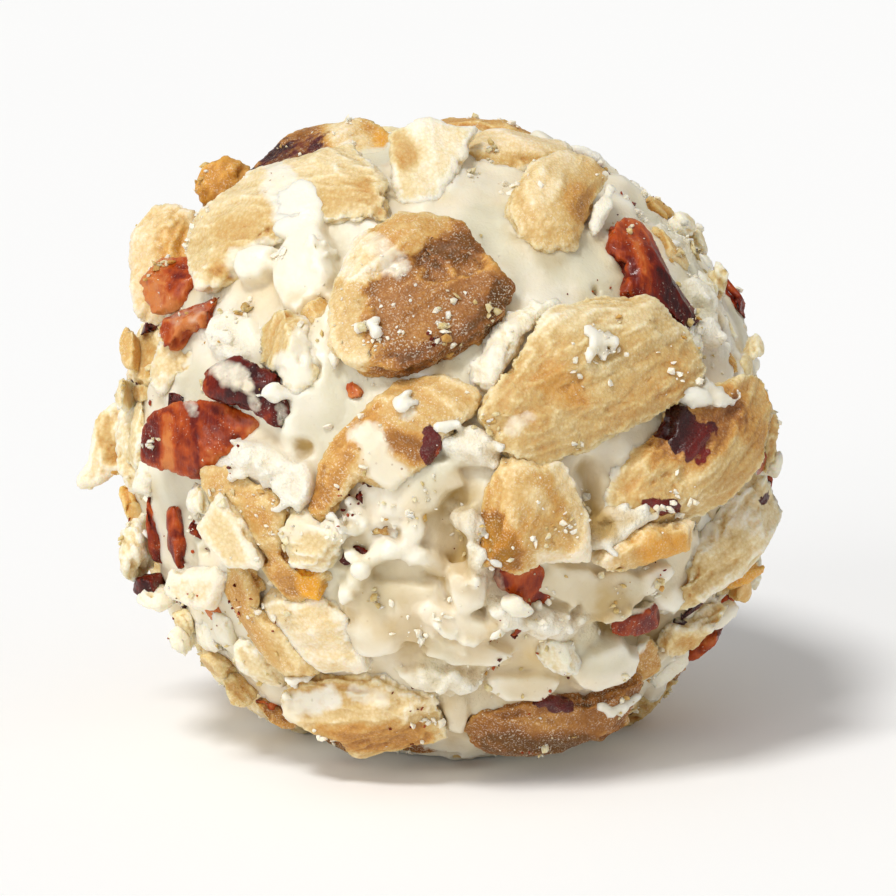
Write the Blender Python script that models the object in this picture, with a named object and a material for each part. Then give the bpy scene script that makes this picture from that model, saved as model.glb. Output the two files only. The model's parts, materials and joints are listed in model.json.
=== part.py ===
"""White chocolate truffle rolled in chopped nuts.

A ball of white chocolate, settled on a small flat foot, carries broken pieces of roasted nut: thick
chunks, thin flakes and curled bits of skin.  Each piece is a separate closed solid that stands on
the ball with a fine gap round it, trimmed where another piece lies over it.

Tables are in millimetres and the scene is in metres.  +Z is up, the origin is the middle of the
foot, and the front of the truffle faces -Y, leaning back a little.
"""

import math
import random
from collections import namedtuple

import bmesh
import bpy
from mathutils import Matrix, Vector, noise
from mathutils.bvhtree import BVHTree

MM = 0.001

# The ball, in millimetres.
BALL_RADIUS = 15.1
BALL_HEIGHT = 14.5
DENT_DEPTH = 0.3
DENT_SPACING = 5.0
BALL_CUTS = 11
CUTTER_CUTS = 15

# The pieces, in millimetres.
GAP = 0.3
GAP_STRETCH = 1.8
STAND = 1.2
MERGE = 0.02
SIGHT = 250.0
FRONT_LEAN = math.radians(12)
SHARP_ANGLE = math.radians(32)

# How a piece is made: how far its rim follows the ball's curve (1 is all the way), how uneven that
# rim is and how high the edge of its flat top lies, as shares of its crown, then the width and the
# depth of its waist and of its base, as shares of its rim and of its whole depth.
BEND = 0.45
RIM_ROUGHNESS = 0.12
SHOULDER = 0.85
WAIST_WIDTH = 0.94
WAIST_DEPTH = 0.45
BASE_WIDTH = 0.76

BALL_CENTRE = Vector((0, 0, BALL_HEIGHT))
ACROSS = Vector((1, 0, 0))
UPWARD = Vector((0, math.sin(FRONT_LEAN), math.cos(FRONT_LEAN)))
FORWARD = Vector((0, -math.cos(FRONT_LEAN), math.sin(FRONT_LEAN)))

# Each kind of piece: its colour and roughness, how deep it is, how far its top is crowned, and how
# much of its width the flat of its top takes.
Kind = namedtuple("Kind", "colour roughness depth crown flat")
KINDS = {
    "toasted": Kind((0.48, 0.24, 0.09, 1), 0.75, 2.3, 0.50, 0.76),
    "pale": Kind((0.80, 0.63, 0.35, 1), 0.70, 2.4, 0.75, 0.66),
    "golden": Kind((0.74, 0.47, 0.17, 1), 0.55, 2.0, 0.60, 0.62),
    "flake": Kind((0.89, 0.76, 0.49, 1), 0.65, 0.9, 0.15, 0.82),
    "skin": Kind((0.20, 0.045, 0.015, 1), 0.40, 1.1, 0.30, 0.68),
}
COATING = ((0.89, 0.84, 0.64, 1), 0.38)

# One piece on the front: its outline's corners are across and up from the ball's middle, as seen
# from SIGHT in front.  stand is how far its rim lies off the ball, facing turns it from lying on
# the ball (0) to facing front (1), and forward places its middle where it can't lie on the ball.
Front = namedtuple("Front", "name corners stand facing forward depth", defaults=(STAND, 0.0, None, None))

# Pieces that lie on others come before them.
FRONT_PIECES = (
    Front("skin_plum", ((-12.3, 3.9), (-11.9, 4.5), (-10.5, 4.4), (-8.8, 3.5), (-8.2, 1.7),
                        (-8.7, 1.0), (-10.1, 1.9), (-12.3, 2.6)), stand=1.7, facing=0.2),
    Front("skin_mahogany", ((-15.8, 0.6), (-14.9, 1.7), (-13.2, 2.4), (-11.2, 2.1), (-9.5, 1.2),
                            (-10.4, 0.4), (-11.6, -0.5), (-12.9, -1.6), (-14.1, -1.2), (-15.5, -0.7)),
          stand=1.3, facing=0.35, depth=1.7),
    Front("skin_amber", ((-15.7, 8.6), (-15.2, 9.7), (-13.9, 9.5), (-13.0, 9.6), (-12.7, 8.6),
                         (-13.2, 7.5), (-14.1, 7.0), (-15.1, 6.9)), facing=0.55, forward=4.8),
    Front("skin_dusty", ((-14.9, 6.1), (-14.0, 7.0), (-12.7, 7.8), (-12.0, 7.6), (-12.2, 6.1),
                         (-13.3, 6.0), (-14.2, 4.9)), stand=1.5, facing=0.4),
    Front("skin_russet", ((8.4, 11.3), (9.1, 11.7), (9.9, 11.1), (10.9, 9.2), (11.8, 8.1), (12.9, 6.8),
                          (12.2, 6.0), (10.6, 7.0), (8.8, 7.8), (9.0, 8.8), (8.2, 10.0)),
          stand=1.4, facing=0.25, depth=1.5),
    Front("flake_left_upper", ((-11.6, -2.4), (-10.4, -4.0), (-9.5, -6.1), (-11.2, -6.1),
                               (-12.2, -4.8), (-12.7, -4.0)), stand=2.3, facing=0.3),
    Front("flake_left_lower", ((-14.1, -6.3), (-11.1, -6.2), (-12.0, -8.1), (-13.3, -7.9),
                               (-14.4, -7.4)), stand=2.0, facing=0.45),
    Front("pale_log", ((-13.6, 10.1), (-13.0, 11.8), (-10.6, 13.6), (-8.6, 14.3), (-5.2, 15.5),
                       (-4.0, 14.5), (-3.6, 12.2), (-6.6, 11.6), (-8.9, 10.6), (-11.2, 9.1),
                       (-12.8, 8.5)), stand=1.5, facing=0.15, depth=2.8),
    Front("toasted_slab", ((-6.0, 5.0), (-5.9, 8.2), (-5.0, 10.5), (-2.6, 11.8), (0.6, 11.6),
                           (1.7, 9.9), (2.95, 8.5), (2.6, 7.3), (1.3, 5.95), (-0.6, 4.9),
                           (-2.4, 4.0), (-4.6, 4.3)), stand=1.6),
    Front("flake_almond", ((-3.0, 15.8), (-1.0, 16.5), (0.4, 16.1), (1.35, 16.2), (0.8, 14.8),
                           (0.1, 13.5), (-0.9, 12.0), (-2.1, 11.9), (-2.8, 13.0)),
          stand=1.3, facing=0.45, depth=1.0),
    Front("toasted_hood", ((-10.3, 13.9), (-8.6, 15.5), (-7.0, 16.6), (-5.0, 16.9), (-3.2, 15.8),
                           (-2.8, 13.8), (-3.0, 12.2), (-4.5, 12.5), (-7.5, 13.3)),
          facing=0.5, forward=3.0, depth=2.6),
    Front("pale_block", ((1.9, 1.9), (3.2, 3.9), (4.3, 5.8), (5.4, 7.0), (8.9, 7.9), (10.5, 7.3),
                         (12.2, 6.0), (13.1, 4.2), (12.5, 3.0), (10.8, 1.9), (8.2, 0.6),
                         (4.8, -0.8), (2.9, 0.0)), stand=1.6, facing=0.1),
    Front("pale_layer", ((1.1, 4.0), (2.2, 5.6), (2.9, 6.7), (4.2, 7.2), (5.4, 7.3), (6.0, 5.0),
                         (3.3, 1.2), (1.6, 1.4), (1.3, 2.9)), stand=0.8, facing=0.1),
    Front("toasted_arc", ((-7.1, -3.2), (-6.9, -2.0), (-5.8, 0.2), (-4.1, 1.9), (-2.6, 3.5),
                          (-0.5, 3.5), (1.2, 2.8), (1.4, 1.9), (-0.1, 1.0), (-1.4, -0.9),
                          (-2.9, -2.0), (-4.7, -1.5), (-5.9, -3.0), (-6.6, -3.7)), stand=1.1),
    Front("golden_shield", ((1.7, -5.75), (1.7, -4.1), (2.1, -2.3), (2.9, -0.7), (3.7, -0.35),
                            (5.5, -0.7), (6.3, -2.0), (6.85, -3.5), (7.05, -5.8), (5.4, -5.7),
                            (3.3, -6.3), (2.6, -5.8)), stand=1.7, facing=0.1),
    Front("skin_chip", ((2.1, -5.6), (3.1, -5.8), (4.3, -5.4), (4.8, -6.4), (4.9, -8.1), (4.1, -8.3),
                        (3.1, -7.5), (2.3, -7.6)), stand=0.7),
    Front("pale_blushed", ((8.0, -3.4), (8.3, -1.2), (9.1, 0.1), (10.2, 0.5), (11.2, 2.2), (13.4, 3.2),
                           (16.2, 3.5), (16.6, 1.8), (15.8, -0.5), (14.9, -2.1), (14.0, -2.9),
                           (11.6, -3.8), (9.0, -4.0)), stand=1.4, facing=0.4, depth=2.8),
    Front("pale_wing", ((16.1, -1.5), (16.95, -3.2), (16.8, -4.2), (15.4, -5.3), (14.4, -6.5),
                        (12.2, -8.2), (11.2, -8.6), (10.4, -7.6), (11.5, -6.8), (11.9, -5.1),
                        (13.2, -4.0), (14.6, -2.5)), stand=1.1, facing=0.45, depth=2.2),
    Front("golden_wedge", ((7.5, -5.9), (8.6, -4.8), (9.9, -4.15), (12.3, -3.8), (11.9, -5.4),
                           (10.4, -6.1), (8.4, -6.2)), stand=1.7, facing=0.2, depth=1.7),
    Front("golden_cube", ((3.0, 11.9), (3.3, 13.0), (4.0, 14.0), (5.9, 15.0), (7.2, 14.6), (8.0, 13.9),
                          (7.0, 11.9), (6.4, 10.2), (4.6, 10.0), (3.5, 10.8)),
          stand=1.7, facing=0.25, depth=2.6),
    Front("golden_stick", ((0.2, 14.3), (0.6, 15.8), (2.2, 15.8), (4.5, 15.2), (6.2, 15.2),
                           (6.4, 14.2), (3.6, 13.85)), stand=0.9, facing=0.3),
    Front("golden_half", ((-15.9, 11.2), (-15.2, 12.0), (-14.2, 12.2), (-13.1, 11.8), (-13.3, 9.8),
                          (-13.4, 7.4), (-14.8, 6.2), (-15.7, 6.6), (-16.1, 9.0)),
          facing=0.7, forward=1.0, depth=3.0),
    Front("golden_orange", ((-12.7, 12.9), (-12.2, 14.5), (-11.3, 14.4), (-10.3, 14.1), (-9.8, 12.3),
                            (-11.8, 10.9)), facing=0.8, forward=0.4, depth=1.8),
    Front("pale_left", ((-16.0, 5.9), (-14.9, 5.9), (-13.4, 4.7), (-12.5, 3.9), (-12.8, 3.1),
                        (-14.2, 2.7), (-15.6, 3.2)), facing=0.45, forward=4.6, depth=2.0),
    Front("pale_left_tall", ((-16.7, 1.8), (-15.7, 1.8), (-15.0, 0.6), (-14.6, -1.0), (-15.0, -1.8),
                             (-16.0, -2.2), (-16.6, -1.4), (-16.9, 0.3)),
          facing=0.6, forward=3.0, depth=1.8),
    Front("flake_shard", ((-18.8, -1.8), (-18.1, -0.7), (-17.7, 1.4), (-16.8, 2.1), (-15.0, 1.2),
                          (-15.2, -0.4), (-17.0, -1.2), (-18.2, -2.2)),
          facing=0.85, forward=0.3, depth=1.2),
    Front("pale_frosted", ((-9.6, 4.0), (-9.6, 6.0), (-8.9, 6.8), (-8.0, 6.95), (-7.3, 6.3),
                           (-7.0, 3.4), (-7.8, 2.8), (-8.6, 3.9)), stand=1.2, depth=1.9),
    Front("pale_rough", ((-8.4, -4.2), (-8.0, -3.4), (-6.8, -3.7), (-5.5, -4.2), (-5.9, -5.4),
                         (-6.2, -6.1), (-7.4, -6.3), (-8.2, -5.4)), stand=1.3, depth=1.7),
    Front("toasted_bar_upper", ((-12.8, -1.4), (-11.2, -1.1), (-9.2, -2.2), (-7.9, -3.2), (-7.4, -4.6),
                                (-6.4, -6.5), (-6.8, -7.6), (-8.2, -7.6), (-9.4, -6.2), (-10.4, -3.9),
                                (-12.0, -3.0)), stand=1.1, facing=0.1, depth=2.0),
    Front("golden_yellow", ((-9.8, -7.7), (-9.0, -7.2), (-8.0, -7.6), (-6.4, -7.8), (-5.3, -8.9),
                            (-4.3, -11.3), (-6.2, -11.3), (-7.5, -10.2), (-8.4, -9.0)),
          stand=1.0, facing=0.1),
    Front("toasted_bar_lower", ((-11.1, -6.3), (-10.1, -6.3), (-9.1, -8.2), (-8.1, -9.0), (-7.0, -10.4),
                                (-6.0, -11.4), (-7.4, -11.8), (-8.9, -10.9), (-10.4, -9.2),
                                (-11.4, -7.4)), stand=1.2, facing=0.15, depth=1.9),
    Front("pale_base", ((-8.6, -13.7), (-8.3, -12.3), (-7.4, -11.8), (-3.8, -11.7), (-2.2, -12.4),
                        (-0.7, -12.8), (-0.4, -14.7), (-2.0, -15.0), (-4.6, -15.5), (-5.6, -14.5)),
          stand=1.3, facing=0.25, depth=2.6),
    Front("toasted_base", ((0.9, -14.6), (1.6, -13.5), (3.1, -13.1), (4.8, -12.6), (7.0, -13.0),
                           (9.3, -12.4), (9.9, -12.4), (8.4, -14.1), (5.5, -15.2), (3.0, -15.5),
                           (1.4, -15.3)), stand=1.2, facing=0.25, depth=2.4),
    Front("pale_keel", ((10.8, -8.9), (12.2, -8.7), (14.0, -8.1), (13.2, -9.2), (12.6, -10.0),
                        (11.0, -10.5), (10.5, -10.0)), stand=1.0, facing=0.4, depth=1.8),
)

# The pieces round the sides, back, top and underside: kind, length and width.
ROUND_PIECES = (
    ("pale", 10.6, 8.0), ("toasted", 10.2, 7.2), ("pale", 10.0, 6.6), ("golden", 9.2, 6.8),
    ("toasted", 9.4, 5.8), ("pale", 9.0, 6.4), ("skin", 7.6, 5.0), ("toasted", 8.6, 5.2),
    ("pale", 8.4, 6.6), ("golden", 8.2, 5.2), ("flake", 7.6, 5.6), ("pale", 8.2, 5.4),
    ("skin", 6.6, 4.8), ("toasted", 7.4, 5.4), ("pale", 7.4, 5.4), ("golden", 7.0, 5.2),
    ("flake", 6.6, 5.0), ("toasted", 6.6, 4.8), ("skin", 5.8, 4.0), ("pale", 6.6, 5.0),
    ("golden", 6.0, 4.4), ("pale", 6.0, 4.8), ("skin", 5.2, 3.8), ("toasted", 5.8, 4.4),
)
ROUND_SPOTS = 420
ROUND_STAND = (0.9, 1.7)
ROUND_TILT = math.radians(12.5)
ROUND_CORNERS = (7, 8, 9)

# Where they may lie, as the cosine of the angle from the front and from straight up, and how far
# their middles may show past the ball's middle as seen from the front.
FRONT_LIMIT = -0.04
UNDER_LIMIT = -0.88
LIMB_REACH = 15.7

# A broken outline: how far its corners stray along it, as a share of their spacing, how far they
# lie from an even oval, and how square it is (0 is an oval, 1 a box).
CORNER_STRAY = 0.28
CORNER_REACH = (0.80, 1.08)
SQUARENESS = 0.45

FRONT_SEED = 5
ROUND_SEED = 21


def lay_out(across, up, forward):
    """The point of the front that shows at this place, forward of the ball's middle."""
    nearer = 1 - forward / SIGHT
    return ACROSS * (across * nearer) + UPWARD * (up * nearer) + FORWARD * forward


def forward_on_ball(across, up, radius):
    """How far forward of its middle a sphere of this radius shows at this place, or 0 past its edge."""
    forward = 0.0
    for _ in range(4):
        reach = math.hypot(across, up) * (1 - forward / SIGHT)
        forward = math.sqrt(max(radius ** 2 - reach ** 2, 0.0))
    return forward


def front_rim(piece):
    """The middle, outward normal and rim corners of a front piece, measured from the ball's middle."""
    across = sum(corner[0] for corner in piece.corners) / len(piece.corners)
    up = sum(corner[1] for corner in piece.corners) / len(piece.corners)
    forward = piece.forward
    if forward is None:
        forward = forward_on_ball(across, up, BALL_RADIUS + piece.stand)
    middle = lay_out(across, up, forward)
    normal = middle.normalized().lerp(FORWARD, piece.facing).normalized()
    rim = []
    for corner in piece.corners:
        start = lay_out(*corner, 0)
        sight = lay_out(*corner, 1) - start
        rim.append(start + sight * (normal.dot(middle - start) / normal.dot(sight)))
    return middle, normal, rim


def broken_outline(rng, length, width):
    """Corners of a broken piece, as (x, y) from its middle."""
    count = rng.choice(ROUND_CORNERS)
    turn = rng.uniform(0, math.tau)
    corners = []
    for index in range(count):
        angle = turn + math.tau * (index + rng.uniform(-CORNER_STRAY, CORNER_STRAY)) / count
        corner = max(abs(math.cos(angle)), abs(math.sin(angle)))
        reach = rng.uniform(*CORNER_REACH) / corner ** SQUARENESS
        corners.append((0.5 * length * reach * math.cos(angle), 0.5 * width * reach * math.sin(angle)))
    return corners


def round_rim(rng, direction, length, width):
    """The middle, outward normal and rim corners of a piece in this direction from the ball."""
    limb = LIMB_REACH / direction.cross(FORWARD).length
    middle = direction * min(BALL_RADIUS + rng.uniform(*ROUND_STAND), limb)
    side = direction.orthogonal().normalized()
    side.rotate(Matrix.Rotation(rng.uniform(0, math.tau), 3, direction))
    tilt = Matrix.Rotation(rng.uniform(-ROUND_TILT, ROUND_TILT), 3, side)
    normal = tilt @ direction
    along = side
    beside = normal.cross(along)
    rim = [middle + along * x + beside * y for x, y in broken_outline(rng, length, width)]
    return middle, normal, rim


def add_ring(bm, centre, rim, scale, lift):
    """A ring of vertices like the rim, drawn in towards the centre and raised along lift."""
    return [bm.verts.new(centre + (corner - centre) * scale + lift) for corner in rim]


def join_rings(bm, upper, lower):
    """Faces between two rings of the same number of vertices."""
    for index, vertex in enumerate(upper):
        after = (index + 1) % len(upper)
        bm.faces.new((vertex, lower[index], lower[after], upper[after]))


def close_ring(bm, ring, point):
    """A fan of triangles from the ring to one vertex at the point."""
    tip = bm.verts.new(point)
    for index, vertex in enumerate(ring):
        bm.faces.new((vertex, ring[(index + 1) % len(ring)], tip))


def chip_mesh(name, middle, normal, rim, kind, depth, rng):
    """A closed chip: rim corners bent a little round the ball, a crowned top and a narrower underside."""
    bent = []
    for corner in rim:
        sag = BEND * (corner - middle).length_squared / (2 * BALL_RADIUS)
        uneven = rng.uniform(-RIM_ROUGHNESS, RIM_ROUGHNESS) * kind.crown
        bent.append(corner - normal * (sag + uneven))
    bm = bmesh.new()
    top = add_ring(bm, middle, bent, kind.flat, normal * kind.crown * SHOULDER)
    edge = add_ring(bm, middle, bent, 1.0, Vector())
    waist = add_ring(bm, middle, bent, WAIST_WIDTH, normal * -depth * WAIST_DEPTH)
    base = add_ring(bm, middle, bent, BASE_WIDTH, normal * -depth)
    join_rings(bm, top, edge)
    join_rings(bm, edge, waist)
    join_rings(bm, waist, base)
    close_ring(bm, top, middle + normal * kind.crown)
    close_ring(bm, base, middle - normal * depth)
    bmesh.ops.recalc_face_normals(bm, faces=bm.faces[:])
    mesh = bpy.data.meshes.new(name)
    bm.to_mesh(mesh)
    bm.free()
    return mesh


def grown_copy(mesh, gap):
    """A copy of the mesh with every face moved outward by the gap."""
    bm = bmesh.new()
    bm.from_mesh(mesh)
    bm.normal_update()
    moved = [
        vertex.co + vertex.normal * gap * min(vertex.calc_shell_factor(), GAP_STRETCH)
        for vertex in bm.verts
    ]
    for vertex, place in zip(bm.verts, moved):
        vertex.co = place
    grown = bpy.data.meshes.new(mesh.name + "_cutter")
    bm.to_mesh(grown)
    bm.free()
    return grown


def ball_shape(radius, cuts):
    """A bmesh ball of even quads round the origin."""
    bm = bmesh.new()
    bmesh.ops.create_cube(bm, size=2)
    bmesh.ops.subdivide_edges(bm, edges=bm.edges[:], cuts=cuts, use_grid_fill=True)
    for vertex in bm.verts:
        even = Vector([math.tan(math.radians(45) * part) for part in vertex.co])
        vertex.co = even.normalized() * radius
    return bm


def ball_mesh():
    """The chocolate ball: shallow dents all over, and a flat foot where it has settled."""
    bm = ball_shape(BALL_RADIUS, BALL_CUTS)
    for vertex in bm.verts:
        dent = DENT_DEPTH * (0.5 + 0.5 * noise.noise(vertex.co / DENT_SPACING))
        vertex.co *= 1 - dent / BALL_RADIUS
        vertex.co.z = max(vertex.co.z, -BALL_HEIGHT)
    mesh = bpy.data.meshes.new("ball")
    bm.to_mesh(mesh)
    bm.free()
    return mesh


def scratch_object(mesh):
    """A hidden working object, left out of the model."""
    tool = bpy.data.objects.new(mesh.name, mesh)
    tool.hide_render = True
    tool.display_type = "WIRE"
    bpy.context.collection.objects.link(tool)
    return tool


def carved(mesh, cutters):
    """The mesh with every cutter taken away."""
    work = scratch_object(mesh)
    for cutter in cutters:
        cut = work.modifiers.new("Gap", "BOOLEAN")
        cut.operation = "DIFFERENCE"
        cut.solver = "EXACT"
        cut.object = cutter
    depsgraph = bpy.context.evaluated_depsgraph_get()
    result = bpy.data.meshes.new_from_object(work.evaluated_get(depsgraph))
    bpy.data.objects.remove(work)
    return result


def linked_verts(start):
    """Every vertex joined to the start by edges."""
    found = {start}
    waiting = [start]
    while waiting:
        for edge in waiting.pop().link_edges:
            for vertex in edge.verts:
                if vertex not in found:
                    found.add(vertex)
                    waiting.append(vertex)
    return found


def tidy_solid(mesh):
    """The mesh stopped at the surface it rests on, merged, in one part and in triangles."""
    bm = bmesh.new()
    bm.from_mesh(mesh)
    every = bm.verts[:] + bm.edges[:] + bm.faces[:]
    floor = Vector((0, 0, -BALL_HEIGHT))
    cut = bmesh.ops.bisect_plane(bm, geom=every, plane_co=floor, plane_no=(0, 0, -1), clear_outer=True)
    open_edges = [part for part in cut["geom_cut"] if isinstance(part, bmesh.types.BMEdge)]
    if open_edges:
        bmesh.ops.holes_fill(bm, edges=open_edges)
    bmesh.ops.remove_doubles(bm, verts=bm.verts[:], dist=MERGE)
    bmesh.ops.dissolve_degenerate(bm, edges=bm.edges[:], dist=MERGE)
    waiting = set(bm.verts)
    parts = []
    while waiting:
        part = linked_verts(next(vertex for vertex in bm.verts if vertex in waiting))
        waiting -= part
        parts.append(part)
    largest = max(parts, key=len)
    spare = [vertex for vertex in bm.verts if vertex not in largest]
    bmesh.ops.delete(bm, geom=spare, context="VERTS")
    bmesh.ops.triangulate(bm, faces=bm.faces[:])
    bmesh.ops.recalc_face_normals(bm, faces=bm.faces[:])
    bm.to_mesh(mesh)
    bm.free()
    return mesh


def tree_of(mesh):
    """A search tree of the mesh's faces."""
    return BVHTree.FromPolygons([v.co for v in mesh.vertices], [p.vertices for p in mesh.polygons])


def finish_material(name, colour, roughness):
    """A Principled material, made once for each finish."""
    material = bpy.data.materials.get(name)
    if material is None:
        material = bpy.data.materials.new(name)
        material.use_nodes = True
        shader = material.node_tree.nodes["Principled BSDF"]
        shader.inputs["Base Color"].default_value = colour
        shader.inputs["Roughness"].default_value = roughness
        shader.inputs["Metallic"].default_value = 0.0
        material.diffuse_color = colour
    return material


def place(name, mesh, material, parent):
    """One named object of the model, from a mesh in millimetres round the ball's middle."""
    middle = sum((v.co for v in mesh.vertices), Vector()) / len(mesh.vertices)
    if name == "ball":
        middle = Vector()
    mesh.transform(Matrix.Scale(MM, 4) @ Matrix.Translation(-middle))
    mesh.name = name
    mesh.materials.clear()
    mesh.materials.append(material)
    mesh.shade_smooth()
    mesh.set_sharp_from_angle(angle=SHARP_ANGLE)
    piece = bpy.data.objects.new(name, mesh)
    piece.location = (BALL_CENTRE + middle) * MM
    piece.parent = parent
    bpy.context.collection.objects.link(piece)
    return piece


def spiral_directions(count):
    """Evenly spread directions, from the top down."""
    golden = math.pi * (3 - math.sqrt(5))
    for index in range(count):
        height = 1 - 2 * (index + 0.5) / count
        across = math.sqrt(1 - height * height)
        yield Vector((across * math.cos(golden * index), across * math.sin(golden * index), height))


def front_chips():
    """Every front piece as (name, middle, mesh), those on top first."""
    rng = random.Random(FRONT_SEED)
    for piece in FRONT_PIECES:
        kind = KINDS[piece.name.split("_")[0]]
        middle, normal, rim = front_rim(piece)
        depth = piece.depth or kind.depth
        yield piece.name, middle, chip_mesh(piece.name, middle, normal, rim, kind, depth, rng)


def round_chips(taken):
    """Every piece of the other sides as (name, middle, mesh), each where the ball is barest."""
    rng = random.Random(ROUND_SEED)
    spots = [
        direction for direction in spiral_directions(ROUND_SPOTS)
        if direction.dot(FORWARD) < FRONT_LIMIT and direction.z > UNDER_LIMIT
    ]
    for number, (kind_name, length, width) in enumerate(ROUND_PIECES, 1):
        direction = max(spots, key=lambda spot: clear_round(spot, taken))
        taken.append((direction, (length + width) / 4))
        kind = KINDS[kind_name]
        middle, normal, rim = round_rim(rng, direction, length, width)
        name = f"{kind_name}_{number:02d}"
        yield name, middle, chip_mesh(name, middle, normal, rim, kind, kind.depth, rng)


def clear_round(spot, taken):
    """How far the ball is bare round this direction, in millimetres."""
    return min(spot.angle(other) * BALL_RADIUS - reach for other, reach in taken)


def chip_reach(middle, mesh):
    """How far the chip's corners lie from its middle, on average."""
    return sum((v.co - middle).length for v in mesh.vertices) / len(mesh.vertices)


def main():
    """The whole truffle, in an emptied scene."""
    for old in list(bpy.data.objects):
        bpy.data.objects.remove(old)
    truffle = bpy.data.objects.new("truffle", None)
    bpy.context.collection.objects.link(truffle)

    place("ball", ball_mesh(), finish_material("coating", *COATING), truffle)

    clear_ball = bpy.data.meshes.new("clear_ball")
    shape = ball_shape(BALL_RADIUS + GAP, CUTTER_CUTS)
    shape.to_mesh(clear_ball)
    shape.free()
    ball_cutter = scratch_object(clear_ball)

    chips = list(front_chips())
    taken = [(middle.normalized(), chip_reach(middle, mesh)) for _, middle, mesh in chips]
    chips.extend(round_chips(taken))

    laid = []
    for name, _, mesh in chips:
        tree = tree_of(mesh)
        above = [cutter for cutter, cutter_tree in laid if cutter_tree.overlap(tree)]
        cutter = scratch_object(grown_copy(mesh, GAP))
        laid.append((cutter, tree_of(cutter.data)))
        kind = KINDS[name.split("_")[0]]
        material = finish_material(name.split("_")[0] + "_nut", kind.colour, kind.roughness)
        place(name, tidy_solid(carved(mesh, above + [ball_cutter])), material, truffle)

    for cutter, _ in laid:
        bpy.data.objects.remove(cutter)
    bpy.data.objects.remove(ball_cutter)


if __name__ == "__main__":
    main()
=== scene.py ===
"""The looks of a white chocolate truffle rolled in chopped nuts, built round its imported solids.

Shapes are worked out in millimetres from the ball's middle and placed in metres.  A place on the
front is given as (across, up) from the ball's middle, as it shows from the front at SIGHT.
"""

import json
import math
import random
from collections import namedtuple

import bmesh
import bpy
import numpy as np
from bpy.props import FloatProperty, FloatVectorProperty, IntProperty, PointerProperty
from mathutils import Matrix, Vector
from mathutils.bvhtree import BVHTree
from mathutils.kdtree import KDTree

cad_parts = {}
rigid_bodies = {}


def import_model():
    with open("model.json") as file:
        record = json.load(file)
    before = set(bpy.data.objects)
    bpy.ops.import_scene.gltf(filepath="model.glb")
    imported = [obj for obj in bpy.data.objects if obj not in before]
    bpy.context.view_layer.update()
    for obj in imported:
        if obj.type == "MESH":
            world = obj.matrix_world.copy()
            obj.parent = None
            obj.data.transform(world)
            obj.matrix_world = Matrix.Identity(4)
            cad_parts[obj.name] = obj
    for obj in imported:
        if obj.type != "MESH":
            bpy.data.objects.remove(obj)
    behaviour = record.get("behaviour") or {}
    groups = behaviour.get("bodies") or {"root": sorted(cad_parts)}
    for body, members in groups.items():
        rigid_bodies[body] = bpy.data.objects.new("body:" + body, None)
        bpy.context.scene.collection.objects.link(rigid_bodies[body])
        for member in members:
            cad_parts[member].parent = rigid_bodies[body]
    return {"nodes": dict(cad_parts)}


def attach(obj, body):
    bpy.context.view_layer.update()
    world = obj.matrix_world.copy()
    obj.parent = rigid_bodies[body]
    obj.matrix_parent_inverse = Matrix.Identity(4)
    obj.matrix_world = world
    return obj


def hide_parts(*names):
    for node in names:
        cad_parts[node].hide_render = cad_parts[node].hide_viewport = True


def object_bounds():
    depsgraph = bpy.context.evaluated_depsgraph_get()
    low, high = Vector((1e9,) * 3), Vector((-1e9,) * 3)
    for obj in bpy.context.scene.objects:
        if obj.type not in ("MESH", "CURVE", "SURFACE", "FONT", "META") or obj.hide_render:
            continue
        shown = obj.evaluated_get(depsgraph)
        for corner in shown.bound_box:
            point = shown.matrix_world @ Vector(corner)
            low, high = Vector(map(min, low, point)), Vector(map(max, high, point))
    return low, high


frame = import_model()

bl_info = {
    "name": "Nut Truffle",
    "version": (1, 0, 0),
    "blender": (4, 5, 0),
    "location": "3D Viewport > Sidebar > Truffle",
    "description": "Gives a chocolate truffle its coat, its nuts, its crumbs and its stage",
    "category": "Add Mesh",
}

SOLID_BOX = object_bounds()
MM = 0.001

# The ball and how the truffle is looked at, in millimetres and degrees.
BALL_RADIUS = 15.1
BALL_HEIGHT = 14.5
FRONT_LEAN = math.radians(12)
SIGHT = 250.0
BOX_SLACK = 0.3
ACROSS = np.array((1.0, 0.0, 0.0))
UPWARD = np.array((0.0, math.sin(FRONT_LEAN), math.cos(FRONT_LEAN)))
FORWARD = np.array((0.0, -math.cos(FRONT_LEAN), math.sin(FRONT_LEAN)))


# ---------------------------------------------------------------- numbers and noise

def smooth_step(low, high, values):
    """0 at low, 1 at high, and a smooth rise between."""
    share = np.clip((values - low) / (high - low), 0, 1)
    return share * share * (3 - 2 * share)


class Noise:
    """Smooth random values over space, the same each run."""

    def __init__(self, seed):
        rng = np.random.default_rng(seed)
        self.order = rng.permutation(256)
        slopes = rng.normal(size=(256, 3))
        self.slopes = slopes / np.linalg.norm(slopes, axis=1)[:, None]

    def single(self, points, size):
        """Values from about -1 to 1, that vary over this size in millimetres."""
        places = points / size + 37.5
        cells = np.floor(places).astype(np.int64)
        within = places - cells
        eased = within ** 3 * (within * (within * 6 - 15) + 10)
        total = np.zeros(len(points))
        for corner in np.ndindex(2, 2, 2):
            x, y, z = (cells + corner).T & 255
            slope = self.slopes[self.order[(self.order[(self.order[x] + y) & 255] + z) & 255]]
            value = ((within - corner) * slope).sum(1)
            total += value * np.prod(np.where(corner, eased, 1 - eased), axis=1)
        return total * 1.7

    def layered(self, points, size, layers=3):
        """Several noises, each half as large and half as strong as the one before."""
        return sum(self.single(points + 11.3 * step, size / 2 ** step) / 2 ** step for step in range(layers))

    def ridged(self, points, size):
        """Sharp crests, 1 on each crest and falling to 0."""
        return 1 - np.minimum(np.abs(self.single(points, size)) * 2, 1)


NOISE = Noise(7)


# ---------------------------------------------------------------- places on the front

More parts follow.
